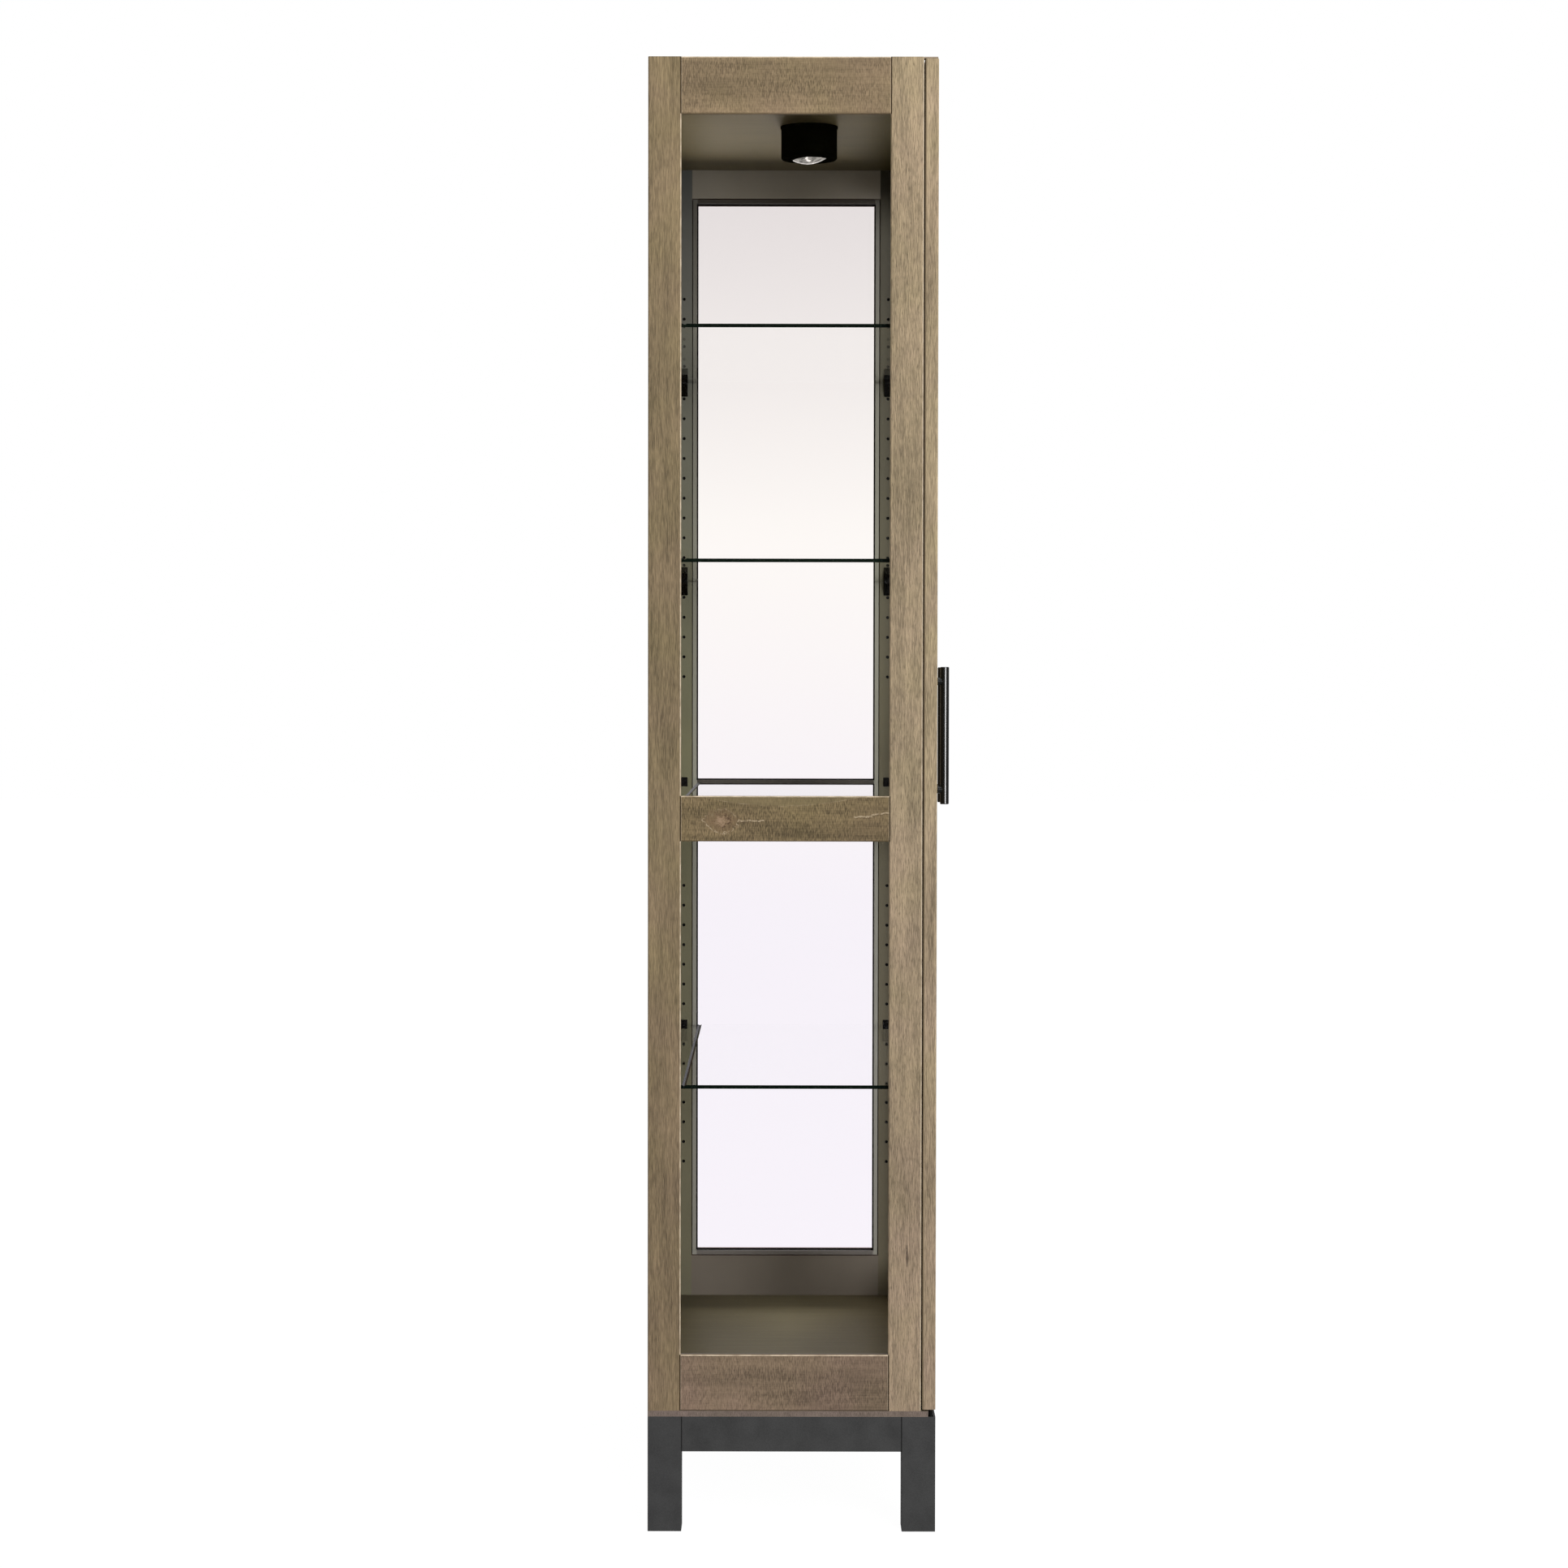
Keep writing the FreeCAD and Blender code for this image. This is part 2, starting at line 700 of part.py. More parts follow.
def leg(depth, side, sign):
    """A square leg with eased edges and a mortise for each apron."""
    body = new_body(f"{depth}_{side}_leg")
    near, far, ease = "0", "leg_width", "leg_ease"
    prism_z(body, "0", "base_height", [
        corner_spot(depth, sign, ease, near),
        corner_spot(depth, sign, f"{far} - {ease}", near),
        corner_spot(depth, sign, far, ease),
        corner_spot(depth, sign, far, f"{far} - {ease}"),
        corner_spot(depth, sign, f"{far} - {ease}", far),
        corner_spot(depth, sign, ease, far),
        corner_spot(depth, sign, near, f"{far} - {ease}"),
        corner_spot(depth, sign, near, ease),
    ])
    cheek = "((apron_thickness - tenon_thickness) / 2 - tenon_clearance)"
    across = (cheek, f"apron_thickness - {cheek}")
    along = ("leg_width - tenon_length - tenon_clearance", "leg_width + leg_ease")
    top = "base_height - tenon_shoulder + tenon_clearance"
    depth_of_mortise = "apron_height - 2 * tenon_shoulder + 2 * tenon_clearance"
    for side_span, end_span in ((across, along), (along, across)):
        sketch_corners = rectangle(depth, sign, side_span, end_span)
        pocket(body, "XY_Plane", top, depth_of_mortise, corners=sketch_corners)
    if depth == "front":
        pocket(body, "XY_Plane", "base_height", "pivot_tail",
               circles=[(signed(sign, PIVOT_X), PIVOT_Y, "pivot_radius + pivot_clearance")])
    node(body, f"{depth}_{side}_leg")


def apron(label, along_x, sign, ends):
    """An apron between two legs, with a tenon at each end."""
    low, high = ends
    shoulder_low = f"{APRON_FOOT_Z} + tenon_shoulder"
    shoulder_high = "base_height - tenon_shoulder"
    cheek = "(apron_thickness - tenon_thickness) / 2"

    def faces(inset, foot, head):
        first, last = inset, f"apron_thickness - ({inset})"
        if along_x:
            show = f"{DOOR_FRONT_Y} +" if sign == "-" else f"{BACK_Y} -"
            across = [f"{show} ({first})", f"{show} ({last})"]
        else:
            across = [signed(sign, f"{HALF_WIDTH} - ({first})"), signed(sign, f"{HALF_WIDTH} - ({last})")]
        return [(across[0], foot), (across[1], foot), (across[1], head), (across[0], head)]

    body = new_body(label)
    prism = prism_x if along_x else prism_y
    prism(body, low, high, faces("0", APRON_FOOT_Z, "base_height"))
    prism(body, f"{low} - tenon_length", f"{high} + tenon_length", faces(cheek, shoulder_low, shoulder_high))
    node(body, label)


def corner_block(depth, side, sign):
    """A glue block across a base corner, notched round the leg and drilled for its screw."""
    body = new_body(f"{depth}_{side}_block")
    reach = "leg_width + block_reach"
    prism_z(body, "base_height - block_height", "base_height", [
        corner_spot(depth, sign, "apron_thickness", "leg_width"),
        corner_spot(depth, sign, "leg_width", "leg_width"),
        corner_spot(depth, sign, "leg_width", "apron_thickness"),
        corner_spot(depth, sign, reach, "apron_thickness"),
        corner_spot(depth, sign, "apron_thickness", reach),
    ])
    x, y = base_screw_spots()[CORNERS.index((depth, side, sign))]
    pocket(body, "XY_Plane", "base_height", "block_height",
           circles=[(x, y, "base_screw_radius + screw_clearance")])
    return body


def base():
    blocks = []
    for depth, side, sign in CORNERS:
        leg(depth, side, sign)
        blocks.append(corner_block(depth, side, sign))
    ends_x = (f"-1 * {LEG_INNER_X}", LEG_INNER_X)
    ends_y = (LEG_FRONT_Y, LEG_BACK_Y)
    apron("front_apron", True, "-", ends_x)
    apron("back_apron", True, "+", ends_x)
    apron("left_apron", False, "-", ends_y)
    apron("right_apron", False, "+", ends_y)
    group("corner_blocks", blocks)
    screw = new_body("base_screw")
    tip = "block_height + base_screw_bite - screw_clearance"
    turned(screw, [
        ("0", "-1 * base_screw_head_height"),
        ("base_screw_head", "-1 * base_screw_head_height / 2"),
        ("base_screw_head", "0"),
        ("base_screw_radius", "0"),
        ("base_screw_radius", tip),
        ("0", tip),
    ])
    under = "base_height - block_height"
    group("base_screws", [copy_of(screw, (x, y, under)) for x, y in base_screw_spots()])


# Doors

def pivot_plate_span(sign):
    outer = f"{HALF_WIDTH} - plate_margin"
    return span(sign, f"{outer} - plate_width", outer)


def hinge_stile(frame, side, sign):
    """The outer stile, bored at both ends for its pivots and notched under the pivot plate."""
    inward = "+" if sign == "-" else "-"
    edge = signed(sign, HALF_WIDTH)
    body = upright(frame, f"{side}_door_hinge_stile", edge, inward, "door_stile_width", (DOOR_FOOT_Z, TOP_Z))
    notch_z = f"{TOP_Z} - plate_thickness - plate_headroom"
    low_x, high_x = span(sign, f"{HALF_WIDTH} - plate_margin - plate_width - notch_gap",
                         f"{HALF_WIDTH} + edge_ease")
    pocket(body, "XY_Plane", TOP_Z, "plate_thickness + plate_headroom", corners=[
        (low_x, f"{DOOR_FRONT_Y} - edge_ease"),
        (high_x, f"{DOOR_FRONT_Y} - edge_ease"),
        (high_x, f"{DOOR_BACK_Y} + edge_ease"),
        (low_x, f"{DOOR_BACK_Y} + edge_ease"),
    ])
    bore = [(signed(sign, PIVOT_X), PIVOT_Y, "pivot_radius + pivot_clearance")]
    pocket(body, "XY_Plane", notch_z, "pivot_engagement + pivot_end_gap", circles=bore)
    pocket(body, "XY_Plane", DOOR_FOOT_Z, "pivot_engagement + pivot_end_gap", circles=bore, along_normal=True)


def lock_stile(frame, side, sign):
    """The meeting stile, drilled for the handle's screws."""
    inward = "-" if sign == "-" else "+"
    edge = signed(sign, "meeting_gap / 2")
    body = upright(frame, f"{side}_door_lock_stile", edge, inward, "door_stile_width", (DOOR_FOOT_Z, TOP_Z))
    radius = "handle_screw_radius + screw_clearance"
    holes = [(signed(sign, HANDLE_X), f"{HANDLE_Z} {step} post_spacing / 2", radius) for step in "-+"]
    pocket(body, "XZ_Plane", f"-1 * {DOOR_FRONT_Y}", "door_thickness", circles=holes)


def handle(side, sign):
    """A bar pull: a round bar on two posts, drawn about the middle of the bar."""
    body = new_body(f"{side}_handle")
    half = "bar_length / 2"
    turned(body, [
        ("0", f"-1 * {half}"),
        ("bar_radius - bar_edge", f"-1 * {half}"),
        ("bar_radius", f"-1 * {half} + bar_edge"),
        ("bar_radius", f"{half} - bar_edge"),
        ("bar_radius - bar_edge", half),
        ("0", half),
    ])
    foot = "(handle_projection - bar_radius)"
    spots = ("-1 * post_spacing / 2", "post_spacing / 2")
    pad(body, "XZ_Plane", f"-1 * {foot}", foot, circles=[("0", z, "post_radius") for z in spots])
    radius = "handle_screw_radius + screw_clearance"
    pocket(body, "XZ_Plane", f"-1 * {foot}", "handle_screw_bite + handle_screw_end_gap",
           circles=[("0", z, radius) for z in spots], along_normal=True)
    place(body, signed(sign, HANDLE_X), HANDLE_Y, HANDLE_Z)
    node(body, f"{side}_handle")


def handle_screw():
    """A pan-head screw that points along -Z from under its head."""
    body = new_body("handle_screw")
    tip = "-1 * (door_thickness + handle_screw_bite)"
    turned(body, [
        ("0", tip),
        ("handle_screw_radius", tip),
        ("handle_screw_radius", "0"),
        ("handle_screw_head", "0"),
        ("handle_screw_head", "handle_screw_head_height / 2"),
        ("handle_screw_head / 2", "handle_screw_head_height"),
        ("0", "handle_screw_head_height"),
    ])
    return body


def door(side, sign, screw):
    frame = DoorFrame()
    name = f"{side}_door"
    hinge_stile(frame, side, sign)
    lock_stile(frame, side, sign)
    runs = span(sign, "(meeting_gap / 2 + door_stile_width)", f"({HALF_WIDTH} - door_stile_width)")
    frame_rails(frame, name, runs, DOOR_FOOT_Z)
    panes = [pane(frame, f"{name}_upper_pane", runs, UPPER_OPENING),
             pane(frame, f"{name}_lower_pane", runs, LOWER_OPENING)]
    group(f"{name}_glass", panes)
    strips = stops(frame, f"{name}_upper_stop", runs, UPPER_OPENING)
    strips += stops(frame, f"{name}_lower_stop", runs, LOWER_OPENING)
    group(f"{name}_glass_stops", strips)
    handle(side, sign)
    screws = []
    for step in "-+":
        spot = (signed(sign, HANDLE_X), DOOR_BACK_Y, f"{HANDLE_Z} {step} post_spacing / 2")
        screws.append(copy_of(screw, spot, ALONG_X, "-90"))
    group(f"{side}_handle_screws", screws)
    strike = cylinder(f"{side}_strike_disc", "strike_radius", "door_gap - catch_gap", ALONG_X,
                      x=signed(sign, "magnet_offset"), y=f"{FRONT_Y} - catch_gap", z=MAGNET_Z)
    node(strike, f"{side}_door_strike")


def pivots():
    """Fixed pivots: a flanged pin on each front leg, and a plate with a pin let into each front stile."""
    pin = new_body("lower_pivot_pin")
    tip = f"{DOOR_FOOT_Z} - base_height + pivot_engagement"
    turned(pin, [
        ("0", "-1 * pivot_tail"),
        ("pivot_radius", "-1 * pivot_tail"),
        ("pivot_radius", "0"),
        ("pivot_flange", "0"),
        ("pivot_flange", "pivot_flange_height"),
        ("pivot_radius", "pivot_flange_height"),
        ("pivot_radius", tip),
        ("0", tip),
    ])
    pins = [copy_of(pin, (signed(sign, PIVOT_X), PIVOT_Y, "base_height")) for side, sign in SIDES]
    group("lower_pivot_pins", pins)
    plates = []
    for side, sign in SIDES:
        body = new_body(f"{side}_pivot_plate")
        low_x, high_x = pivot_plate_span(sign)
        plate_front = f"{DOOR_FRONT_Y} + plate_margin"
        prism_z(body, f"{TOP_Z} - plate_thickness", TOP_Z, [
            (low_x, plate_front),
            (high_x, plate_front),
            (high_x, PLATE_BACK_Y),
            (low_x, PLATE_BACK_Y),
        ])
        length = "plate_headroom + pivot_engagement"
        pad(body, "XY_Plane", f"{TOP_Z} - plate_thickness - ({length})", length,
            circles=[(signed(sign, PIVOT_X), PIVOT_Y, "pivot_radius")])
        plates.append(body)
    group("upper_pivot_plates", plates)


def doors():
    screw = handle_screw()
    for side, sign in SIDES:
        door(side, sign, screw)
    pivots()


# Lamp

def lamp_housing():
    """A flanged can under the ceiling, with a round mouth and a blind bore for each trunnion."""
    body = new_body("lamp_housing")
    foot = "-1 * lamp_height"
    turned(body, [
        (LAMP_INNER_RADIUS, "0"),
        (f"{LAMP_RADIUS} + lamp_flange", "0"),
        (f"{LAMP_RADIUS} + lamp_flange", "-1 * lamp_flange_height"),
        (LAMP_RADIUS, "-1 * lamp_flange_height"),
        (LAMP_RADIUS, f"{foot} + lamp_edge"),
        (f"{LAMP_RADIUS} - lamp_edge", foot),
        (LAMP_MOUTH_RADIUS, foot),
        (LAMP_MOUTH_RADIUS, f"{foot} + lamp_wall"),
        (LAMP_INNER_RADIUS, f"{foot} + lamp_wall"),
    ])
    reach = f"({LAMP_INNER_RADIUS} + trunnion_bite)"
    bore = [("0", "ball_height - lamp_height", "trunnion_radius + trunnion_clearance")]
    pocket(body, "YZ_Plane", f"-1 * {reach}", f"2 * {reach}", circles=bore, along_normal=True)
    place(body, "0", LAMP_Y, CEILING_Z)
    node(body, "lamp_housing")


def lamp_head():
    """A ball with a reflector bowl, two trunnions and a domed lens in its seat, tilted in the can."""
    ball = doc.addObject("Part::Sphere", "lamp_ball")
    bind(ball, Radius="ball_radius", Angle1="-1 * asin(lens_drop / ball_radius)",
         Angle2="asin(ball_crown / ball_radius)")
    reach = f"({LAMP_INNER_RADIUS} + trunnion_bite - trunnion_end_gap)"
    trunnions = cylinder("lamp_trunnions", "trunnion_radius", f"2 * {reach}", ALONG_Y,
                         x=f"-1 * {reach}")
    lens_back = "(lens_thickness - lens_drop)"
    seat = cylinder("lens_seat", LENS_SEAT_RADIUS, "lens_thickness", z="-1 * lens_drop")
    bowl = doc.addObject("Part::Cone", "reflector_bowl")
    bind(bowl, Radius1=f"{LENS_SEAT_RADIUS} - lens_ledge", Radius2="bowl_crown_radius",
         Height=f"ball_crown - ball_cap - {lens_back}")
    place(bowl, z=lens_back)
    hollow = fuse("lamp_hollow", [seat, bowl])
    cup = cut("lamp_cup", fuse("ball_and_trunnions", [ball, trunnions]), hollow)
    rim = f"({LENS_SEAT_RADIUS} - lens_clearance)"
    disc = cylinder("lens_disc", rim, "lens_thickness", z="-1 * lens_drop")
    dome_radius = f"(({rim}^2 + lens_crown^2) / (2 * lens_crown))"
    dome = doc.addObject("Part::Sphere", "lens_dome")
    bind(dome, Radius=dome_radius, Angle1="-90",
         Angle2=f"-1 * asin(({dome_radius} - lens_crown) / {dome_radius})")
    place(dome, z=f"{dome_radius} - lens_crown - lens_drop")
    lens = fuse("domed_lens", [disc, dome])
    for piece, label in ((cup, "lamp_reflector"), (lens, "lamp_lens")):
        node(copy_of(piece, ("0", LAMP_Y, BALL_Z), ALONG_X, "-1 * lamp_tilt"), label)


for side_name, side_sign in SIDES:
    side_frame(side_name, side_sign)
top_panel()
bottom_board()
back_panel()
shelves()
base()
doors()
lamp_housing()
lamp_head()
doc.recompute()

for thing in doc.Objects:
    if {"Invalid", "Error"} & set(thing.State):
        raise RuntimeError(f"{thing.Label} failed: {thing.State}")

os.makedirs("parts", exist_ok=True)
for piece in nodes:
    shape = Part.getShape(piece)
    if shape.isNull() or not shape.isValid():
        raise RuntimeError(f"{piece.Label} has no valid shape")
    shape.exportStep(f"parts/{piece.Label}.step")
    print(f"{piece.Label}: {len(shape.Solids)} solids, {shape.Volume / 1000:.1f} cm3")
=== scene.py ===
"""Looks of a lighted display case: its finishes, the lamp's faceted lens, a studio and a camera.

Lengths are in metres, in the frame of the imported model: X runs across the case, Y from its doors to its
back and Z up. The photograph shows the case's left side, so the camera stands at -X.
"""

import math
from collections import namedtuple

import bmesh
import bpy
from mathutils import Matrix, Vector


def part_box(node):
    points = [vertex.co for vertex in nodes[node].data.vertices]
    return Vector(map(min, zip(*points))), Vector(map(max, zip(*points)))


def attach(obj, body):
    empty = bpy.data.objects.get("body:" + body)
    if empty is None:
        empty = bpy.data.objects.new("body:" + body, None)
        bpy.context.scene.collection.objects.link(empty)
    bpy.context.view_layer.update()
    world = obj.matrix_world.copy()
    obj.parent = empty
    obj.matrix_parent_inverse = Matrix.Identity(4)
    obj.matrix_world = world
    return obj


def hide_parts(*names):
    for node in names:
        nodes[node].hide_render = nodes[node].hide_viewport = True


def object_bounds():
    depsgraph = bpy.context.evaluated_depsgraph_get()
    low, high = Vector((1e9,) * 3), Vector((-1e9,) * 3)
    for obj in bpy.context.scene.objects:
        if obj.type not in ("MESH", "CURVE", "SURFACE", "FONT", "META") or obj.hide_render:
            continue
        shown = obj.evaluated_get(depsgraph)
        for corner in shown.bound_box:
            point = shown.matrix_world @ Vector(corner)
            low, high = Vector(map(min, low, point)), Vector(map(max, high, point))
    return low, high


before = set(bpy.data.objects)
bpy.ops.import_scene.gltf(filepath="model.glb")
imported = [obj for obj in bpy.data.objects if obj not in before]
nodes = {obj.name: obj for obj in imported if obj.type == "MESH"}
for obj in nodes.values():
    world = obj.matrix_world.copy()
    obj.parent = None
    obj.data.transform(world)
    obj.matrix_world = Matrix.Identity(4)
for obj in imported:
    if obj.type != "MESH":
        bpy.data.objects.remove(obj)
cad_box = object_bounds()

# Names of the pieces
AXES = "XYZ"
SIDES = {"left": -1, "right": 1}
RAILS = ("top_rail", "mid_rail", "bottom_rail")
DOOR_PIECES = ("hinge_stile", "lock_stile", *RAILS)
SHELVES = ("top_shelf", "upper_shelf", "middle_shelf", "lower_shelf")
LEGS = [f"{depth}_{side}_leg" for depth in ("front", "back") for side in SIDES]
APRON_AXES = {"front": "X", "back": "X", "left": "Y", "right": "Y"}

# Directions that faces look in
FORWARD = (0, -1, 0)
BACKWARD = (0, 1, 0)
UPWARD = (0, 0, 1)
DOWNWARD = (0, 0, -1)
NOWHERE = (0, 0, 0)

# When a face counts as looking one way, as looking off it, and as square to an axis
LOOKS = 0.3
LOOKS_OFF = 0.1
SQUARE = 0.92

# Colours and noise for all finishes
WHITE = (1, 1, 1, 1)
NOISE_RANGE = (0.3, 0.7)

# A layer of noise: its blotches' size, the part of its range to stretch from least to most, and its length
Layer = namedtuple("Layer", "across low high detail least most along", defaults=(2.0, 0.0, 1.0, None))


class Finish:
    """A material with one Principled shader, and short ways to add and wire its nodes."""

    def __init__(self, name):
        self.material = bpy.data.materials.new(name)
        self.material.use_nodes = True
        self.tree = self.material.node_tree
        self.shader = self.tree.nodes["Principled BSDF"]
        self.output = self.tree.nodes["Material Output"]
        coordinates = self.add("ShaderNodeTexCoord")
        self.spot = coordinates.outputs["Object"]
        self.normal = coordinates.outputs["Normal"]
        self.place = self.spot

    def add(self, kind, sockets=None, **settings):
        """A new node with its settings, and with values or links on its sockets."""
        item = self.tree.nodes.new(kind)
        for name, value in settings.items():
            setattr(item, name, value)
        for key, value in (sockets or {}).items():
            self.feed(item.inputs[key], value)
        return item

    def feed(self, socket, value):
        if isinstance(value, bpy.types.NodeSocket):
            self.tree.links.new(value, socket)
        else:
            socket.default_value = value

    def set(self, **sockets):
        """Feeds the shader's own sockets, named with underscores for spaces."""
        for name, value in sockets.items():
            self.feed(self.shader.inputs[name.replace("_", " ")], value)

    def math(self, operation, first, second=0.0):
        return self.add("ShaderNodeMath", {0: first, 1: second}, operation=operation).outputs[0]

    def product(self, *values):
        total = values[0]
        for value in values[1:]:
            total = self.math("MULTIPLY", total, value)
        return total

    def blend(self, *shares):
        """The sum of values, each times its share."""
        total = None
        for value, share in shares:
            part = self.math("MULTIPLY", value, share)
            total = part if total is None else self.math("ADD", total, part)
        return total

    def vector(self, operation, first, second=NOWHERE):
        item = self.add("ShaderNodeVectorMath", {0: first, 1: second}, operation=operation)
        scalar = operation in ("DOT_PRODUCT", "LENGTH")
        return item.outputs["Value" if scalar else "Vector"]

    def axes(self, value):
        """The X, Y and Z parts of a vector."""
        return self.add("ShaderNodeSeparateXYZ", {0: value}).outputs

    def ramp(self, value, low, high, start=0.0, end=1.0):
        """The value's range from low to high, stretched to run from start to end and held there."""
        sockets = {"Value": value, "From Min": low, "From Max": high, "To Min": start, "To Max": end}
        return self.add("ShaderNodeMapRange", sockets).outputs["Result"]

    def between(self, value, low, high):
        """One where the value lies from low to high."""
        return self.product(self.math("GREATER_THAN", value, low), self.math("LESS_THAN", value, high))

    def mix(self, factor, first, second):
        item = self.add("ShaderNodeMix", data_type="RGBA")
        for index, value in ((0, factor), (6, first), (7, second)):
            self.feed(item.inputs[index], value)
        return item.outputs[2]

    def mixed_shader(self, factor, first, second):
        sockets = {0: factor, 1: first.outputs[0], 2: second.outputs[0]}
        return self.add("ShaderNodeMixShader", sockets)

    def shades(self, value, colours):
        """A colour ramp with its colours evenly spaced."""
        item = self.add("ShaderNodeValToRGB", {"Fac": value})
        stops = item.color_ramp.elements
        while len(stops) < len(colours):
            stops.new(0.5)
        for index, colour in enumerate(colours):
            stops[index].position = index / (len(colours) - 1)
            stops[index].color = (*colour, 1)
        return item.outputs["Color"]

    def noise(self, across, along=None, axis="Z", detail=2.0, spot=None):
        """Noise whose blotches have a size across an axis and, where it is given, another along it."""
        pitch = [along or across if name == axis else across for name in AXES]
        scaled = self.vector("MULTIPLY", spot or self.spot, [1 / size for size in pitch])
        sockets = {"Vector": scaled, "Scale": 1.0, "Detail": detail}
        return self.add("ShaderNodeTexNoise", sockets).outputs["Fac"]

    def layer(self, kind, axis="Z"):
        """A layer of noise over the piece, with its length along an axis."""
        value = self.noise(kind.across, kind.along, axis, kind.detail, self.place)
        return self.ramp(value, kind.low, kind.high, kind.least, kind.most)

    def bump(self, height, strength, depth):
        sockets = {"Height": height, "Strength": strength, "Distance": depth}
        self.set(Normal=self.add("ShaderNodeBump", sockets).outputs["Normal"])

    def facing(self, direction):
        return self.vector("DOT_PRODUCT", self.normal, direction)

    def looks(self, direction):
        """One on faces that look in a direction."""
        return self.math("GREATER_THAN", self.facing(direction), LOOKS)

    def eased_edges(self):
        """One on the narrow slanting faces along eased edges, nought on faces square to the axes."""
        x, y, z = self.axes(self.vector("ABSOLUTE", self.normal))
        squareness = self.math("MAXIMUM", self.math("MAXIMUM", x, y), z)
        return self.math("LESS_THAN", squareness, SQUARE)


def tone_range(red, green, blue, spread=0.42):
    """Dark, middle and light tones around a colour."""
    return [(red * share, green * share, blue * share) for share in (1 - spread, 1, 1 + spread)]


# Stains of the timber, casts that wander over it, and painted light and shade from the foot of the case to
# its head
STILE_TONES = tone_range(0.170, 0.126, 0.071, 0.50)
PALE_TONES = tone_range(0.249, 0.191, 0.121, 0.50)
DOOR_TONES = tone_range(0.264, 0.205, 0.133, 0.50)
BOARD_TONES = tone_range(0.148, 0.118, 0.093, 0.30)
BARE_TONES = tone_range(0.450, 0.310, 0.180, 0.30)
RAIL_TONES = {
    "top_rail": tone_range(0.162, 0.118, 0.069),
    "mid_rail": tone_range(0.145, 0.105, 0.054, 0.55),
    "bottom_rail": tone_range(0.161, 0.116, 0.075),
}
OLIVE_CAST = (0.980, 1.000, 0.940, 1)
ROSE_CAST = (1.010, 0.995, 1.020, 1)
HEIGHT_SHADING = ((0.970, 0.935, 1.000), (1.000, 1.000, 1.000), (1.060, 1.050, 1.040))
# painted highlight, cream, on eased edges that face the light and at rail ends
EDGE_HIGHLIGHT = (0.470, 0.385, 0.280, 1)
SEAM_BROWN = (0.030, 0.018, 0.006, 1)
CASE_FOOT = 0.17
CASE_HEAD = 1.97

# Layers of the grain, of saw marks across it, of breaks in the painted edge highlights and of brush marks
CLOUD = Layer(0.06, 0.32, 0.68, along=0.30)
FIGURE = Layer(0.012, 0.30, 0.70, along=0.16)
STREAK = Layer(0.0018, 0.28, 0.72, 3, along=0.05)
FIBRE = Layer(0.0007, 0.36, 0.64, 1, along=0.014)
PORES = Layer(0.0008, 0.57, 0.68, 1, along=0.008)
SAW_TEETH = Layer(0.0008, 0.36, 0.64, 1, along=0.006)
SAW_BITE = Layer(0.06, 0.30, 0.56, 3, 0.35, along=0.04)
CAST_PATCH = Layer(0.09, 0.35, 0.65)
EDGE_HIGHLIGHT_BREAKS = Layer(0.012, 0.35, 0.60, 3, 0.45)
BRUSH = Layer(0.15, 0.30, 0.70, 3, along=0.012)

# Shares of cloud, figure, streak and the finest marks in the tone, and how deep and how dense the pores are
STILE_SHARES = (0.34, 0.30, 0.18, 0.52)
STILE_SHIFT = -0.17
RAIL_SHARES = (0.46, 0.34, 0.20, 0.80)
PORE_SHARE = 0.38
PORED = 0.40
RAIL_PORED = 0.20
PIECE_SHIFT = (3.1, 5.7, 9.3)

# Roughness of the timber from its pores to its ridges, its gloss, and its relief as strength and depth
TIMBER_ROUGH = (0.80, 0.66)
TIMBER_GLOSS = 0.2
TIMBER_RELIEF = (0.30, 0.0004)

# How far a rail runs past its shoulders into the stiles' rabbets, and the painted highlight lines at its ends
RAIL_LAP = 0.0095
END_HIGHLIGHT_WIDTH = 0.0009
END_HIGHLIGHT_SHARE = 0.25

# Painted shade, black, in the glass rabbets and the shelf-pin holes, with the holes' reach from their column
# and their depths
RABBET_SHADE = (0.006, 0.006, 0.005, 1)
HOLE_SHADE = (0.003, 0.003, 0.002, 1)
HOLE_REACH = 0.0035
HOLE_MOUTH = 0.0004
HOLE_FLOOR = 0.0110

# Paint on inward faces, with tones from the foot to the head, or from the doors to the back on level panels;
# where the tones change, they are painted light and shade
Paint = namedtuple("Paint", "tones rough gloss", defaults=(0.42, 0.2))
INSIDE = Paint(((0.185, 0.179, 0.111), (0.183, 0.184, 0.105), (0.182, 0.199, 0.195)))
# painted shade: the front stiles' inner faces darker at the head
FRONT_INSIDE = Paint(((0.139, 0.127, 0.080), (0.130, 0.122, 0.073), (0.075, 0.074, 0.053)))
# painted light: the top rails' inner faces far lighter than the mid rails'
RAIL_INSIDE = Paint(((0.183, 0.164, 0.125), (0.085, 0.080, 0.056), (0.446, 0.430, 0.367)))
DOOR_INSIDE = Paint(((0.240, 0.186, 0.118), (0.240, 0.186, 0.118), (0.250, 0.194, 0.124)), 0.85, 0.05)
# painted shade: the ceiling darker towards the doors
CEILING = Paint(((0.098, 0.083, 0.033), (0.135, 0.115, 0.058), (0.172, 0.146, 0.076)), 0.35, 0.08)
# painted shade: the floor darker towards the doors and towards the back
FLOOR = Paint(((0.089, 0.073, 0.034), (0.134, 0.118, 0.061), (0.064, 0.055, 0.027)), 0.42, 0.10)
BRUSH_TONES = ((0.90, 0.90, 0.89), (1.09, 1.09, 1.08))

# The side frames' stiles: their stain, their pores, their inner paint and the way to their rails
Stile = namedtuple("Stile", "tones pored paint toward")
STILES = {
    "back_stile": Stile(STILE_TONES, 0.30, INSIDE, FORWARD),
    "front_stile": Stile(PALE_TONES, 0.60, FRONT_INSIDE, BACKWARD),
}


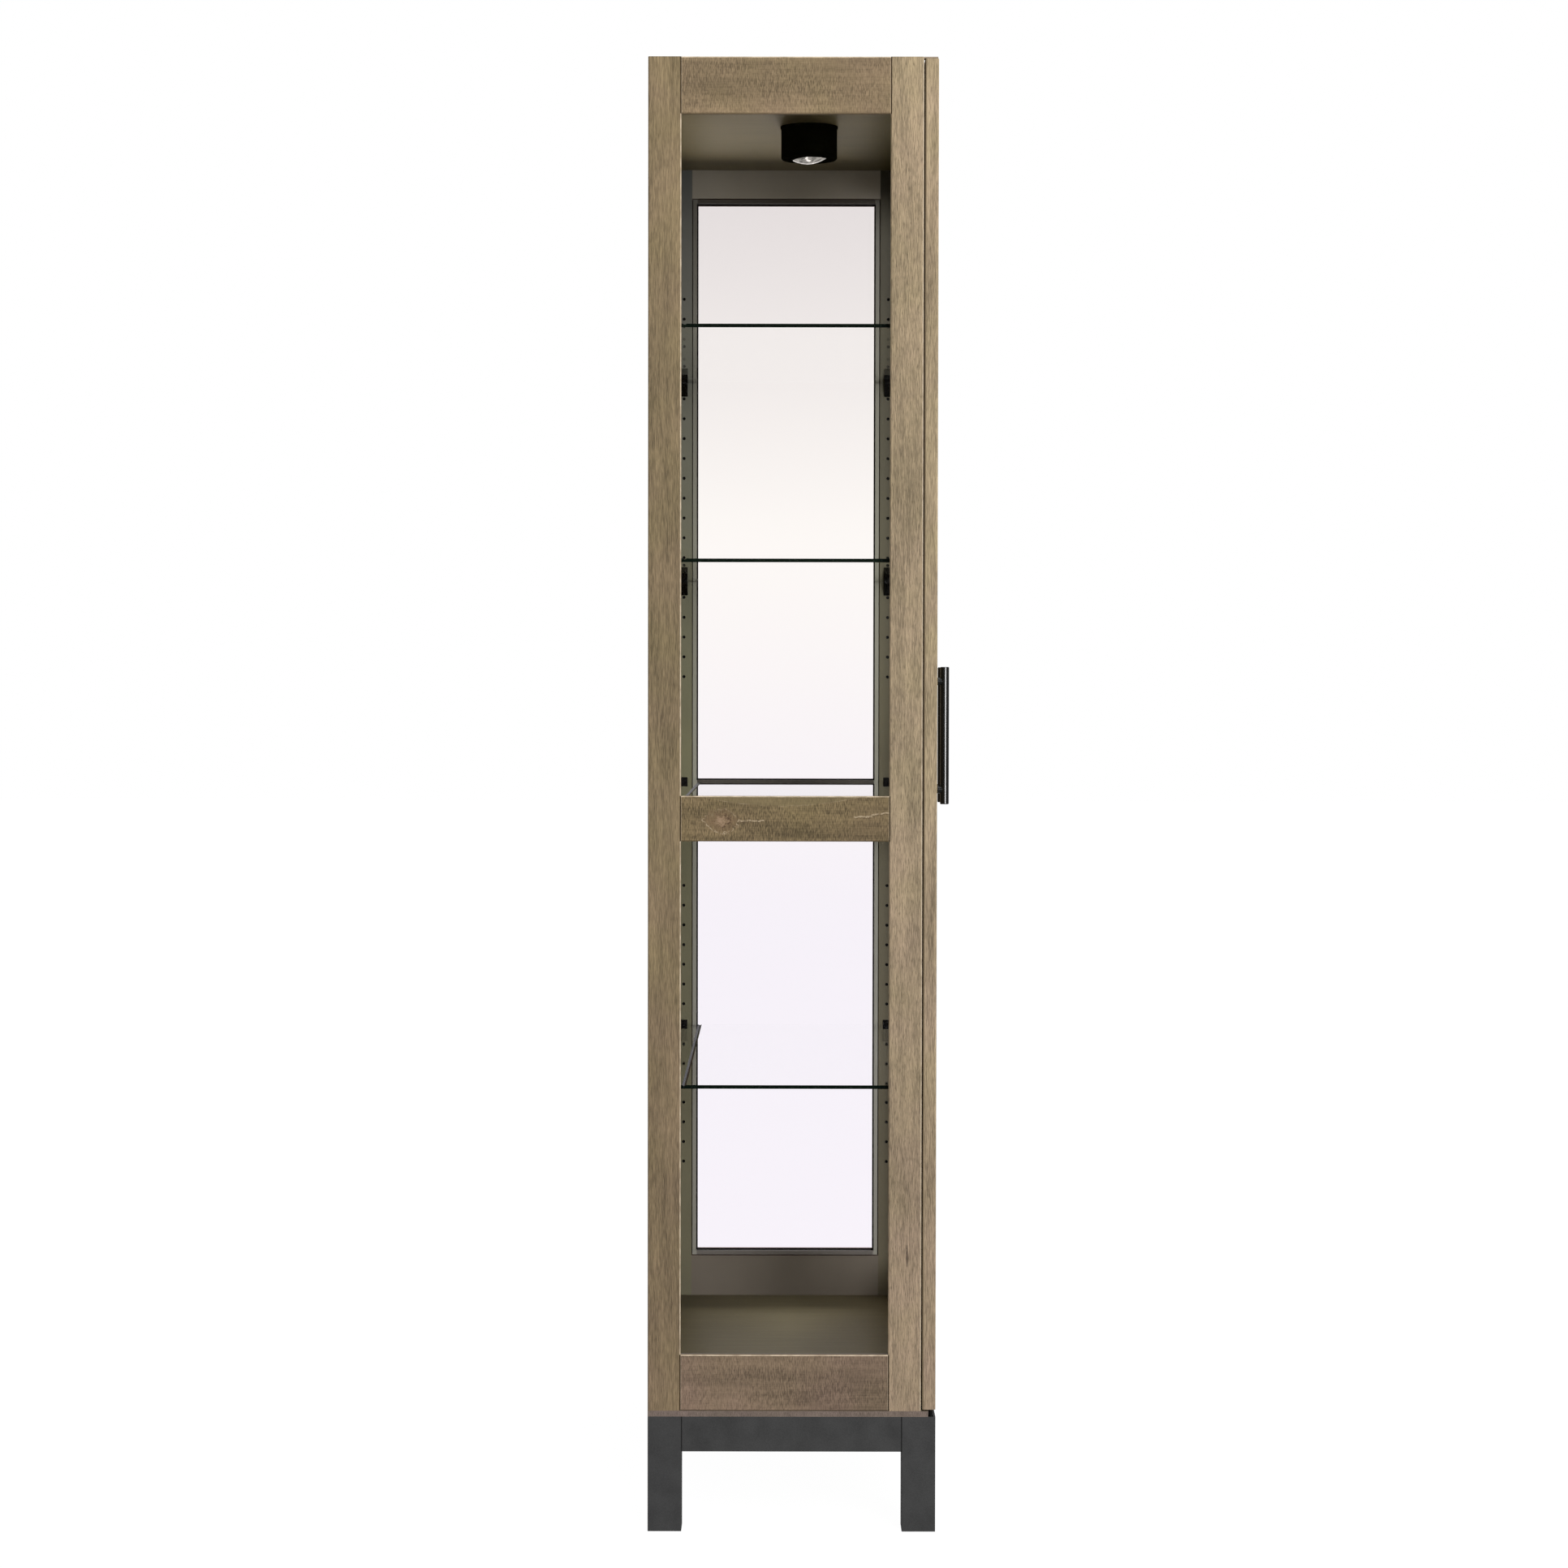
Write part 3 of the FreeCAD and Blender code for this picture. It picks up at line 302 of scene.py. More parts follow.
class Timber(Finish):
    """Rough-sawn timber with a taupe stain outside and smooth paint on its inward faces."""

    def __init__(self, name, tones, inward, grain="Z", pored=PORED):
        super().__init__(name)
        chance = self.add("ShaderNodeObjectInfo").outputs["Random"]
        shift = self.vector("MULTIPLY", PIECE_SHIFT, chance)
        self.place = self.vector("ADD", self.spot, shift)
        self.level = self.ramp(self.axes(self.spot)["Z"], CASE_FOOT, CASE_HEAD)
        self.inward = Vector(inward)
        self.inside = self.looks(inward)
        self.outside = self.math("LESS_THAN", self.facing(inward), LOOKS_OFF)
        self.rabbet = None
        self.holes = None
        self.colour, self.height = self.stain(tones, grain, pored)

    def stain(self, tones, grain, pored):
        """The outer colour, and the height of its grain."""
        streak = self.layer(STREAK, grain)
        parts = [self.layer(CLOUD, grain), self.layer(FIGURE, grain), streak]
        if grain == "Z":
            marks = self.layer(FIBRE)
            value = self.blend(*zip([*parts, marks], STILE_SHARES), (1.0, STILE_SHIFT))
        else:
            marks = self.product(self.math("SUBTRACT", self.layer(SAW_TEETH), 0.5), self.layer(SAW_BITE))
            value = self.blend(*zip([*parts, marks], RAIL_SHARES))
        height = self.blend((streak, 0.5), (marks, 0.5))
        pores = self.product(self.layer(PORES, grain), pored)
        stained = self.shades(value, tones)
        deep = self.vector("MULTIPLY", stained, [PORE_SHARE] * 3)
        cast_and_shading = self.mix(self.layer(CAST_PATCH), OLIVE_CAST, ROSE_CAST)
        # painted light and shade: the stain darker and bluer at the foot of the case, lighter at its head
        cast_and_shading = self.vector("MULTIPLY", cast_and_shading, self.shades(self.level, HEIGHT_SHADING))
        colour = self.vector("MULTIPLY", self.mix(pores, stained, deep), cast_and_shading)
        return colour, self.math("SUBTRACT", height, pores)

    def paint(self, mask, colour):
        self.colour = self.mix(mask, self.colour, colour)

    def highlight_edges(self, direction):
        """Paints a cream highlight on the eased edges that look in a direction, broken in patches."""
        edge = self.product(self.eased_edges(), self.outside, self.looks(direction))
        self.paint(self.product(edge, self.layer(EDGE_HIGHLIGHT_BREAKS)), EDGE_HIGHLIGHT)

    def mark_seams(self, direction, heights):
        """Darkens the eased edges that look in a direction, over the heights where rails meet them."""
        edge = self.product(self.eased_edges(), self.outside, self.looks(direction))
        level = self.axes(self.spot)["Z"]
        for low, high in heights:
            self.paint(self.product(edge, self.between(level, low, high)), SEAM_BROWN)

    def highlight_ends(self, axis, low, high):
        """Faint painted highlight lines where a rail's ends meet the stiles."""
        place = self.axes(self.spot)[axis]
        middle = self.between(place, low + END_HIGHLIGHT_WIDTH, high - END_HIGHLIGHT_WIDTH)
        ends = self.product(self.math("SUBTRACT", 1.0, middle), self.outside)
        self.paint(self.product(ends, END_HIGHLIGHT_SHARE), EDGE_HIGHLIGHT)

    def shade_rabbet(self, low, high):
        """Paints black shade on the inward faces that lie deep in the glass rabbet, past the middle of the
        piece.
        """
        middle = ((low + high) / 2).dot(self.inward)
        self.rabbet = self.math("LESS_THAN", self.vector("DOT_PRODUCT", self.spot, self.inward), middle)

    def shade_holes(self, low, high):
        """Paints black shade into the shelf-pin holes, in a column along the middle of the piece."""
        face = max(low.dot(self.inward), high.dot(self.inward))
        depth = self.math("SUBTRACT", face, self.vector("DOT_PRODUCT", self.spot, self.inward))
        aside = self.math("SUBTRACT", self.axes(self.spot)["Y"], (low.y + high.y) / 2)
        column = self.math("LESS_THAN", self.math("ABSOLUTE", aside), HOLE_REACH)
        self.holes = self.product(column, self.between(depth, HOLE_MOUTH, HOLE_FLOOR))

    def finished(self, paint=None):
        """The material, with any paint on its inward faces."""
        rough = self.ramp(self.height, 0, 1, *TIMBER_ROUGH)
        if paint:
            brushed = self.shades(self.layer(BRUSH, "X"), BRUSH_TONES)
            coat = self.vector("MULTIPLY", self.shades(self.level, paint.tones), brushed)
            # painted shade deep in the glass rabbet
            if self.rabbet:
                coat = self.mix(self.rabbet, coat, RABBET_SHADE)
            self.paint(self.inside, coat)
            drop = self.math("SUBTRACT", rough, paint.rough)
            rough = self.math("SUBTRACT", rough, self.product(drop, self.inside))
        # painted shade in the shelf-pin holes
        if self.holes:
            self.paint(self.holes, HOLE_SHADE)
        self.set(
            Base_Color=self.colour,
            Roughness=rough,
            Specular_IOR_Level=paint.gloss if paint else TIMBER_GLOSS,
        )
        self.bump(self.product(self.height, self.outside), *TIMBER_RELIEF)
        return self.material


def rail_heights(frame_name):
    """The lowest and highest points of a frame's three rails."""
    boxes = [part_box(f"{frame_name}_{rail}") for rail in RAILS]
    return [(low.z, high.z) for low, high in boxes]


def stile_wood(side, stile):
    """A side frame's stile, whose joint lines follow that frame's rails."""
    tones, pored, paint, toward = STILES[stile]
    timber = Timber(f"{side}_{stile}_wood", tones, (-SIDES[side], 0, 0), pored=pored)
    low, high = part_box(f"{side}_{stile}")
    timber.shade_rabbet(low, high)
    timber.shade_holes(low, high)
    timber.highlight_edges(FORWARD)
    timber.mark_seams(toward, rail_heights(side))
    if (side, stile) == ("left", "front_stile"):
        drying_check(timber)
    return timber.finished(paint)


def rail_wood(side, rail):
    """A side frame's rail, with a knot and veins on the middle one of the left side."""
    timber = Timber(f"{side}_{rail}_wood", RAIL_TONES[rail], (-SIDES[side], 0, 0), "Y", RAIL_PORED)
    if (side, rail) == ("left", "mid_rail"):
        heart_line(timber)
        knot(timber)
        for start, end in VEINS:
            vein(timber, start, end)
    timber.highlight_edges(UPWARD)
    low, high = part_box(f"{side}_{rail}")
    timber.shade_rabbet(low, high)
    timber.highlight_ends("Y", low.y + RAIL_LAP, high.y - RAIL_LAP)
    return timber.finished(RAIL_INSIDE)


def door_wood(side, piece):
    """A door's stile or rail, with the dark joint lines of its frame on the stiles and painted highlight
    lines at the rails' ends.
    """
    name = f"{side}_door_{piece}"
    low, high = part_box(name)
    if piece in RAILS:
        timber = Timber(f"{name}_wood", DOOR_TONES, BACKWARD, "X", RAIL_PORED)
        timber.highlight_edges(UPWARD)
        timber.highlight_ends("X", low.x + RAIL_LAP, high.x - RAIL_LAP)
    else:
        timber = Timber(f"{name}_wood", DOOR_TONES, BACKWARD)
        rail_low, rail_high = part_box(f"{side}_door_top_rail")
        toward = math.copysign(1, rail_low.x + rail_high.x - low.x - high.x)
        timber.mark_seams((toward, 0, 0), rail_heights(f"{side}_door"))
    timber.shade_rabbet(low, high)
    return timber.finished(DOOR_INSIDE)


def level_wood(node, tones, inward, paint):
    """A level panel, whose inner paint carries painted shade that changes from the doors to the back."""
    timber = Timber(f"{node}_wood", tones, inward, "X")
    low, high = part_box(node)
    timber.level = timber.ramp(timber.axes(timber.spot)["Y"], low.y, high.y)
    return timber.finished(paint)


def plain_wood(name, tones, grain):
    """A panel or block with the same finish on all its faces."""
    return Timber(name, tones, NOWHERE, grain).finished()


# Marks in the left side's timber: spots are (y, z), and a fade is a range with the shares at its ends
MARK_DETAIL = 3
VEIN_CREAM = (0.330, 0.258, 0.168, 1)
KNOT_DARK = (0.060, 0.034, 0.018, 1)


def stray(timber, size, pitch):
    """A wandering offset of up to about half the size."""
    return timber.product(timber.math("SUBTRACT", timber.noise(pitch, detail=MARK_DETAIL), 0.5), size)


def speckle(timber, kind):
    """A layer of specks that stays in its place on the case."""
    return timber.ramp(timber.noise(kind.across, detail=kind.detail), kind.low, kind.high)


WOBBLE_PITCH = 0.006


def offset_from(timber, spot, size, wobble):
    """The place around a (y, z) spot, in units of the half sizes, with a wobble."""
    _, y, z = timber.axes(timber.spot)
    across = timber.math("DIVIDE", timber.math("SUBTRACT", y, spot[0]), size[0])
    upward = timber.math("DIVIDE", timber.math("SUBTRACT", z, spot[1]), size[1])
    shift = stray(timber, wobble, WOBBLE_PITCH)
    return timber.math("ADD", across, shift), timber.math("ADD", upward, shift)


def reach_of(timber, across, upward):
    flat = timber.add("ShaderNodeCombineXYZ", {0: across, 1: upward}).outputs[0]
    return timber.vector("LENGTH", flat)


HEART_OLIVE = (0.158, 0.124, 0.062, 1)
HEART_LOW = (0.033, 0.9944)
HEART_BEND = 1.1
HEART_STRAY = (0.003, 0.012)
HEART_FADE = (-0.0005, 0.0015, 0.0, 0.45)
HEART_BREAKS = Layer(0.02, 0.35, 0.60)
HEART_HALF_WIDTH = 0.0006
HEART_SHARE = 0.35


def heart_line(timber):
    """A sagging pale line along the rail, with an olive cast above it."""
    _, y, z = timber.axes(timber.spot)
    along = timber.math("SUBTRACT", y, HEART_LOW[0])
    line = timber.math("ADD", timber.product(along, along, HEART_BEND), HEART_LOW[1])
    above = timber.math("SUBTRACT", timber.math("SUBTRACT", z, line), stray(timber, *HEART_STRAY))
    timber.paint(timber.ramp(above, *HEART_FADE), HEART_OLIVE)
    thread = timber.between(above, -HEART_HALF_WIDTH, HEART_HALF_WIDTH)
    timber.paint(timber.product(thread, timber.layer(HEART_BREAKS), HEART_SHARE), VEIN_CREAM)


KNOT_SPOT = (0.1136, 0.9737)
KNOT_SIZE = (0.025, 0.0165)
KNOT_WOBBLE = 0.8
KNOT_ROSE = (0.285, 0.195, 0.125, 1)
KNOT_BROWN = (0.170, 0.108, 0.060, 1)
EYE_FADE = (0.30, 1.40, 0.70, 0.0)
CORE_STRETCH = (2.6, 1.9)
CORE_FADE = (0.55, 1.05, 0.75, 0.0)
CORE_SPECKS = Layer(0.0022, 0.34, 0.60, MARK_DETAIL)
RIM_INNER_FADE = (0.55, 0.95)
RIM_OUTER_FADE = (1.10, 1.80, 1.0, 0.0)
RIM_SPECKS = Layer(0.0026, 0.46, 0.58, MARK_DETAIL)
RIM_FRONT_FADE = (0.25, -0.35, 0.45, 0.90)
EYE_LINE_FADE = (0.032, 0.096, 1.0, 0.0)
EYE_LINE_BREAKS = Layer(0.0035, 0.40, 0.54, MARK_DETAIL)
EYE_LINE_RISE_FADE = (-0.1, 0.5, 0.80, 0.25)


def knot(timber):
    """A rosy, speckled knot with a ragged dark rim, in an eye of broken pale lines, plainest below it."""
    across, upward = offset_from(timber, KNOT_SPOT, KNOT_SIZE, KNOT_WOBBLE)
    eye = timber.math("ADD", timber.math("ABSOLUTE", upward), timber.product(across, across))
    timber.paint(timber.ramp(eye, *EYE_FADE), KNOT_BROWN)

    stretched = (timber.product(place, share) for place, share in zip((across, upward), CORE_STRETCH))
    reach = reach_of(timber, *stretched)
    timber.paint(timber.product(timber.ramp(reach, *CORE_FADE), speckle(timber, CORE_SPECKS)), KNOT_ROSE)

    rim = timber.product(timber.ramp(reach, *RIM_INNER_FADE), timber.ramp(reach, *RIM_OUTER_FADE))
    front = timber.ramp(across, *RIM_FRONT_FADE)
    timber.paint(timber.product(rim, speckle(timber, RIM_SPECKS), front), KNOT_DARK)

    off = timber.math("ABSOLUTE", timber.math("SUBTRACT", eye, 1.0))
    line = timber.product(timber.ramp(off, *EYE_LINE_FADE), speckle(timber, EYE_LINE_BREAKS))
    timber.paint(timber.product(line, timber.ramp(upward, *EYE_LINE_RISE_FADE)), VEIN_CREAM)


VEINS = (
    ((0.088, 0.9740), (0.056, 0.9745)),
    ((-0.066, 0.9793), (-0.091, 0.9800)),
    ((-0.090, 0.9825), (-0.1137, 0.9850)),
)
VEIN_STRAY = (0.005, 0.005)
VEIN_FADE = (0.0006, 0.0015, 0.85, 0.0)
VEIN_BREAKS = Layer(0.003, 0.36, 0.50, MARK_DETAIL)
SHADE_DROP = 0.0016
SHADE_FADE = (0.0, 0.0012, 0.5, 0.0)


def vein(timber, start, end):
    """A thin, broken pale vein that wanders from one (y, z) spot to another, with a shade under it."""
    _, y, z = timber.axes(timber.spot)
    level = timber.ramp(y, start[0], end[0], start[1], end[1])
    above = timber.math("SUBTRACT", timber.math("SUBTRACT", z, level), stray(timber, *VEIN_STRAY))
    run = timber.between(y, min(start[0], end[0]), max(start[0], end[0]))
    under = timber.math("ABSOLUTE", timber.math("ADD", above, SHADE_DROP))
    timber.paint(timber.product(run, timber.ramp(under, *SHADE_FADE)), KNOT_DARK)
    pale = timber.ramp(timber.math("ABSOLUTE", above), *VEIN_FADE)
    timber.paint(timber.product(run, pale, speckle(timber, VEIN_BREAKS)), VEIN_CREAM)


CHECK_SPOT = (-0.140, 0.379)
CHECK_SIZE = (0.0013, 0.013)
CHECK_WOBBLE = 1.2
CHECK_FADE = (0.7, 1.3, 0.8, 0.0)
CHECK_BROWN = (0.045, 0.030, 0.022, 1)


def drying_check(timber):
    """A short dark drying check that runs with the grain."""
    across, upward = offset_from(timber, CHECK_SPOT, CHECK_SIZE, CHECK_WOBBLE)
    timber.paint(timber.ramp(reach_of(timber, across, upward), *CHECK_FADE), CHECK_BROWN)


# Painted light and shade on the glass stops: the upright ones lighter, the flat ones darker, both changing
# from foot to head
LIT_STOP_TONES = ((0.330, 0.335, 0.275), (0.330, 0.340, 0.275), (0.200, 0.205, 0.180))
SHADED_FLAT_STOP_TONES = ((0.190, 0.182, 0.155), (0.075, 0.070, 0.055), (0.100, 0.098, 0.080))
STOP_WIDTH = 0.007
STOP_RIPPLE = 0.003
STOP_ROUGH = (0.38, 0.50)
STOP_GLOSS = 0.2
STOP_RELIEF = (0.05, 0.0003)


def stop_paint(node, axis):
    """The smooth paint of a frame's glass stops, with painted light on the upright ones and painted shade on
    the flat ones.
    """
    finish = Finish(f"{node}_paint")
    spot = finish.axes(finish.spot)
    low, high = (corner[AXES.index(axis)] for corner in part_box(node))
    level = finish.ramp(spot["Z"], CASE_FOOT, CASE_HEAD)
    flat = finish.between(spot[axis], low + STOP_WIDTH, high - STOP_WIDTH)
    lit_upright_paint = finish.shades(level, LIT_STOP_TONES)
    shaded_flat_paint = finish.shades(level, SHADED_FLAT_STOP_TONES)
    ripple = finish.noise(STOP_RIPPLE)
    finish.set(
        Base_Color=finish.mix(flat, lit_upright_paint, shaded_flat_paint),
        Roughness=finish.ramp(ripple, *NOISE_RANGE, *STOP_ROUGH),
        Specular_IOR_Level=STOP_GLOSS,
    )
    finish.bump(ripple, *STOP_RELIEF)
    return finish.material


CHARCOAL_TONES = tone_range(0.033, 0.033, 0.033, 0.25)
CHARCOAL_EDGE_HIGHLIGHT = (0.060, 0.060, 0.059, 1)
CHARCOAL_SEAM = (0.004, 0.004, 0.004, 1)
CHARCOAL_MOTTLE = Layer(0.03, 0.3, 0.7, 4)
CHARCOAL_TOOTH = Layer(0.0022, 0.3, 0.7)
CHARCOAL_HIGHLIGHT_BREAKS = Layer(0.02, 0.35, 0.65, 3, 0.2, 0.9)
CHARCOAL_SHARES = (0.65, 0.35)
CHARCOAL_ROUGH = (0.62, 0.50)
CHARCOAL_GLOSS = 0.2
CHARCOAL_RELIEF = (0.12, 0.0003)
SEAM_LINE = 0.0012


def charcoal(name, axis=None, low=0.0, high=0.0):
    """Charcoal paint on the base, mottled, with a painted highlight along its upward edges and dark joints at
    an apron's ends.
    """
    finish = Finish(name)
    tooth = finish.layer(CHARCOAL_TOOTH)
    value = finish.blend(*zip((finish.layer(CHARCOAL_MOTTLE), tooth), CHARCOAL_SHARES))
    # painted highlight on the upward eased edges
    lit_edges = finish.product(finish.eased_edges(), finish.layer(CHARCOAL_HIGHLIGHT_BREAKS), finish.looks(UPWARD))
    paint = finish.mix(lit_edges, finish.shades(value, CHARCOAL_TONES), CHARCOAL_EDGE_HIGHLIGHT)
    if axis:
        middle = finish.between(finish.axes(finish.spot)[axis], low + SEAM_LINE, high - SEAM_LINE)
        paint = finish.mix(middle, CHARCOAL_SEAM, paint)
    finish.set(
        Base_Color=paint,
        Roughness=finish.ramp(value, 0, 1, *CHARCOAL_ROUGH),
        Specular_IOR_Level=CHARCOAL_GLOSS,
    )
    finish.bump(tooth, *CHARCOAL_RELIEF)
    return finish.material


def apron_paint(side, axis):
    """An apron's paint, with its joints at the inner faces of the legs beside it."""
    legs = [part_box(leg) for leg in LEGS if side in leg.split("_")]
    index = AXES.index(axis)
    first = min(high[index] for _, high in legs)
    last = max(low[index] for low, _ in legs)
    return charcoal(f"{side}_apron_paint", axis, first, last)


Coat = namedtuple("Coat", "dark light rough gloss")
SATIN_BLACK = Coat((0.0012, 0.0013, 0.0010, 1), (0.0022, 0.0022, 0.0018, 1), 0.16, 0.22)
DULL_BLACK = Coat((0.0038, 0.0040, 0.0014, 1), (0.0056, 0.0058, 0.0024, 1), 0.30, 0.0)
TAUPE_COAT = Coat((0.190, 0.142, 0.090, 1), (0.240, 0.182, 0.120, 1), 0.50, 0.30)
COAT_CLOUD = Layer(0.02, 0.3, 0.7)
COAT_TOOTH = 0.0006
COAT_SMOOTHER = 0.04
COAT_ROUGHER = 0.06
COAT_RELIEF = (0.06, 0.0001)


def coated_metal(name, coat):
    """Coated metal with a fine tooth."""
    finish = Finish(name)
    tooth = finish.noise(COAT_TOOTH, detail=3)
    rough = (coat.rough - COAT_SMOOTHER, coat.rough + COAT_ROUGHER)
    finish.set(
        Base_Color=finish.mix(finish.layer(COAT_CLOUD), coat.dark, coat.light),
        Roughness=finish.ramp(tooth, *NOISE_RANGE, *rough),
        Specular_IOR_Level=coat.gloss,
    )
    finish.bump(tooth, *COAT_RELIEF)
    return finish.material


STEEL_DARK = (0.42, 0.42, 0.43, 1)
STEEL_LIGHT = (0.66, 0.66, 0.66, 1)
STEEL_LINES = (0.0004, 0.006, "Y")
STEEL_ROUGH = (0.24, 0.40)


def bright_steel():
    """Zinc-bright steel of the screws, magnets and strikes."""
    finish = Finish("bright_steel")
    lines = finish.noise(*STEEL_LINES, detail=3)
    finish.set(
        Base_Color=finish.mix(lines, STEEL_DARK, STEEL_LIGHT),
        Metallic=1.0,
        Roughness=finish.ramp(lines, *NOISE_RANGE, *STEEL_ROUGH),
    )
    return finish.material


FULL_GLEAM = 0.90


def see_through_glass(finish, tint, ior):
    """Shaders of a clear face: one that passes light, and one that also mirrors at a glance."""
    clear = finish.add("ShaderNodeBsdfTransparent", {"Color": tint})
    mirror = finish.add("ShaderNodeBsdfGlossy", {"Color": WHITE, "Roughness": 0.0})
    gleam = finish.ramp(finish.add("ShaderNodeFresnel", {"IOR": ior}).outputs[0], 0, FULL_GLEAM)
    return clear, finish.mixed_shader(gleam, clear, mirror)


def show_front(finish, front, clear):
    """Shows a shader on the faces that look out of the glass, and lets light pass on the way out."""
    behind = finish.add("ShaderNodeNewGeometry").outputs["Backfacing"]
    whole = finish.mixed_shader(behind, front, clear)
    finish.feed(finish.output.inputs["Surface"], whole.outputs[0])


# Tints of the panes, evenly spaced from the foot of the lower opening to the top of the upper one; their
# darkening towards the top is painted shade
PANE_SHADING_TINTS = ((0.979, 0.968, 0.984), (0.979, 0.968, 0.984), (0.997, 0.987, 0.979), (0.930, 0.914, 0.914))
PANE_FOOT = 0.25
PANE_TOP = 1.95
PANE_IOR = 1.04


def pane_glass():
    """Float glass of the frames, with a tint that turns from lilac to rose, and painted shade that darkens it
    towards the top.
    """
    finish = Finish("pane_glass")
    level = finish.ramp(finish.axes(finish.spot)["Z"], PANE_FOOT, PANE_TOP)
    clear, face = see_through_glass(finish, finish.shades(level, PANE_SHADING_TINTS), PANE_IOR)
    show_front(finish, face, clear)
    return finish.material


SHELF_TINT = (0.996, 0.999, 0.997, 1)
SHELF_IOR = 1.45
SHELF_EDGE_DARK = (0.0015, 0.004, 0.0025, 1)
SHELF_EDGE_LIGHT = (0.004, 0.008, 0.005, 1)
SHELF_EDGE_CLOUD = Layer(0.01, 0.3, 0.7)
SHELF_EDGE_ROUGH = 0.2
SHELF_EDGE_GLOSS = 0.02
SHELF_LEVEL = 0.9


def shelf_glass():
    """Thick shelf glass: a mirror at a glance, and dark green where one looks into its edge."""
    finish = Finish("shelf_glass")
    clear, face = see_through_glass(finish, SHELF_TINT, SHELF_IOR)
    finish.set(
        Base_Color=finish.mix(finish.layer(SHELF_EDGE_CLOUD), SHELF_EDGE_DARK, SHELF_EDGE_LIGHT),
        Roughness=SHELF_EDGE_ROUGH,
        Specular_IOR_Level=SHELF_EDGE_GLOSS,
    )
    levelness = finish.axes(finish.vector("ABSOLUTE", finish.normal))["Z"]
    edge = finish.math("LESS_THAN", levelness, SHELF_LEVEL)
    show_front(finish, finish.mixed_shader(edge, face, finish.shader), clear)
    return finish.material


# The lens's painted reflections: cells to a metre, the mark past which one glints, the lit limb's range in X,
# and their shares
LENS_CELLS = 190.0
LENS_GLINT = 0.86
LENS_LIT_LIMB = (-0.004, 0.005)
LENS_SHARES = (0.42, 0.60, 1.0)
LENS_TONES = ((0.10, 0.10, 0.09), (0.55, 0.54, 0.50), (1.0, 0.98, 0.93))
LENS_METALLIC = 0.3
LENS_ROUGH = 0.10
LENS_LIGHT = 0.8


def lens_glass():
    """The lit lens, with painted reflections: cells that each have a tone of their own, some glints, and a
    bright far limb.
    """
    finish = Finish("lens_glass")
    cells = finish.add("ShaderNodeTexVoronoi", {"Vector": finish.spot, "Scale": LENS_CELLS})
    chance = finish.axes(cells.outputs["Color"])["X"]
    glint = finish.math("GREATER_THAN", chance, LENS_GLINT)
    lit_limb = finish.ramp(finish.axes(finish.spot)["X"], *LENS_LIT_LIMB)
    glow = finish.shades(finish.blend(*zip((chance, glint, lit_limb), LENS_SHARES)), LENS_TONES)
    finish.set(
        Base_Color=glow,
        Metallic=LENS_METALLIC,
        Roughness=LENS_ROUGH,
        Emission_Color=glow,
        Emission_Strength=LENS_LIGHT,
    )
    return finish.material


# The lens's rings from its back, as shares of its radius and of its depth
LENS_RINGS = ((1.0, 0.0), (1.0, 0.28), (0.95, 0.33), (0.92, 0.40), (0.78, 0.57), (0.55, 0.78), (0.28, 0.94))
LENS_FACETS = 16
FLAT_BACK = 0.5


def lens_place():
    """The smooth lens's foot on its axis, its axis, its radius and its depth."""
    smooth = nodes["lamp_lens"].data
    upper = (face for face in smooth.polygons if face.normal.z > FLAT_BACK)
    axis = -max(upper, key=lambda face: face.area).normal.normalized()
    low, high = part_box("lamp_lens")
    middle = (low + high) / 2
    depths = [corner.co.dot(axis) for corner in smooth.vertices]
    foot = middle + axis * (min(depths) - middle.dot(axis))
    return foot, axis, (high.x - low.x) / 2, max(depths) - min(depths)


def lens_rings(mesh, foot, axis, radius, depth):
    """Rings of corners from the lens's back to its crown, each turned by half a facet from the one before."""
    turn = axis.to_track_quat("Z", "X").to_matrix()
    rings = []
    for index, (share, reach) in enumerate(LENS_RINGS):
        ring = []
        for step in range(LENS_FACETS):
            angle = 2 * math.pi * (step + index % 2 / 2) / LENS_FACETS
            spot = Vector((math.cos(angle) * radius * share, math.sin(angle) * radius * share, reach * depth))
            ring.append(mesh.verts.new(foot + turn @ spot))
        rings.append(ring)
    return rings


def lens_mesh():
    """A closed dome of staggered flat facets on a rim."""
    foot, axis, radius, depth = lens_place()
    mesh = bmesh.new()
    rings = lens_rings(mesh, foot, axis, radius, depth)
    for index, (outer, inner) in enumerate(zip(rings, rings[1:])):
        for step in range(LENS_FACETS):
            after = (step + 1) % LENS_FACETS
            if index % 2:
                mesh.faces.new((outer[step], outer[after], inner[after]))
                mesh.faces.new((outer[step], inner[after], inner[step]))
            else:
                mesh.faces.new((outer[step], outer[after], inner[step]))
                mesh.faces.new((outer[after], inner[after], inner[step]))
    mesh.faces.new(list(reversed(rings[0])))
    crown = mesh.verts.new(foot + axis * depth)
    for step in range(LENS_FACETS):
        mesh.faces.new((rings[-1][step], rings[-1][(step + 1) % LENS_FACETS], crown))
    bmesh.ops.recalc_face_normals(mesh, faces=mesh.faces)
    data = bpy.data.meshes.new("faceted_lens")
    mesh.to_mesh(data)
    mesh.free()
    return data


def faceted_lens():
    """A domed lens with flat facets, in place of the smooth one."""
    data = lens_mesh()
    data.materials.append(lens_glass())
    lens = bpy.data.objects.new("faceted_lens", data)
    bpy.context.collection.objects.link(lens)
    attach(lens, "lamp_head")
    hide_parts("lamp_lens")


def dress(material, *names):
    """Gives CAD nodes a finish."""
    for name in names:
        nodes[name].material_slots[0].material = material


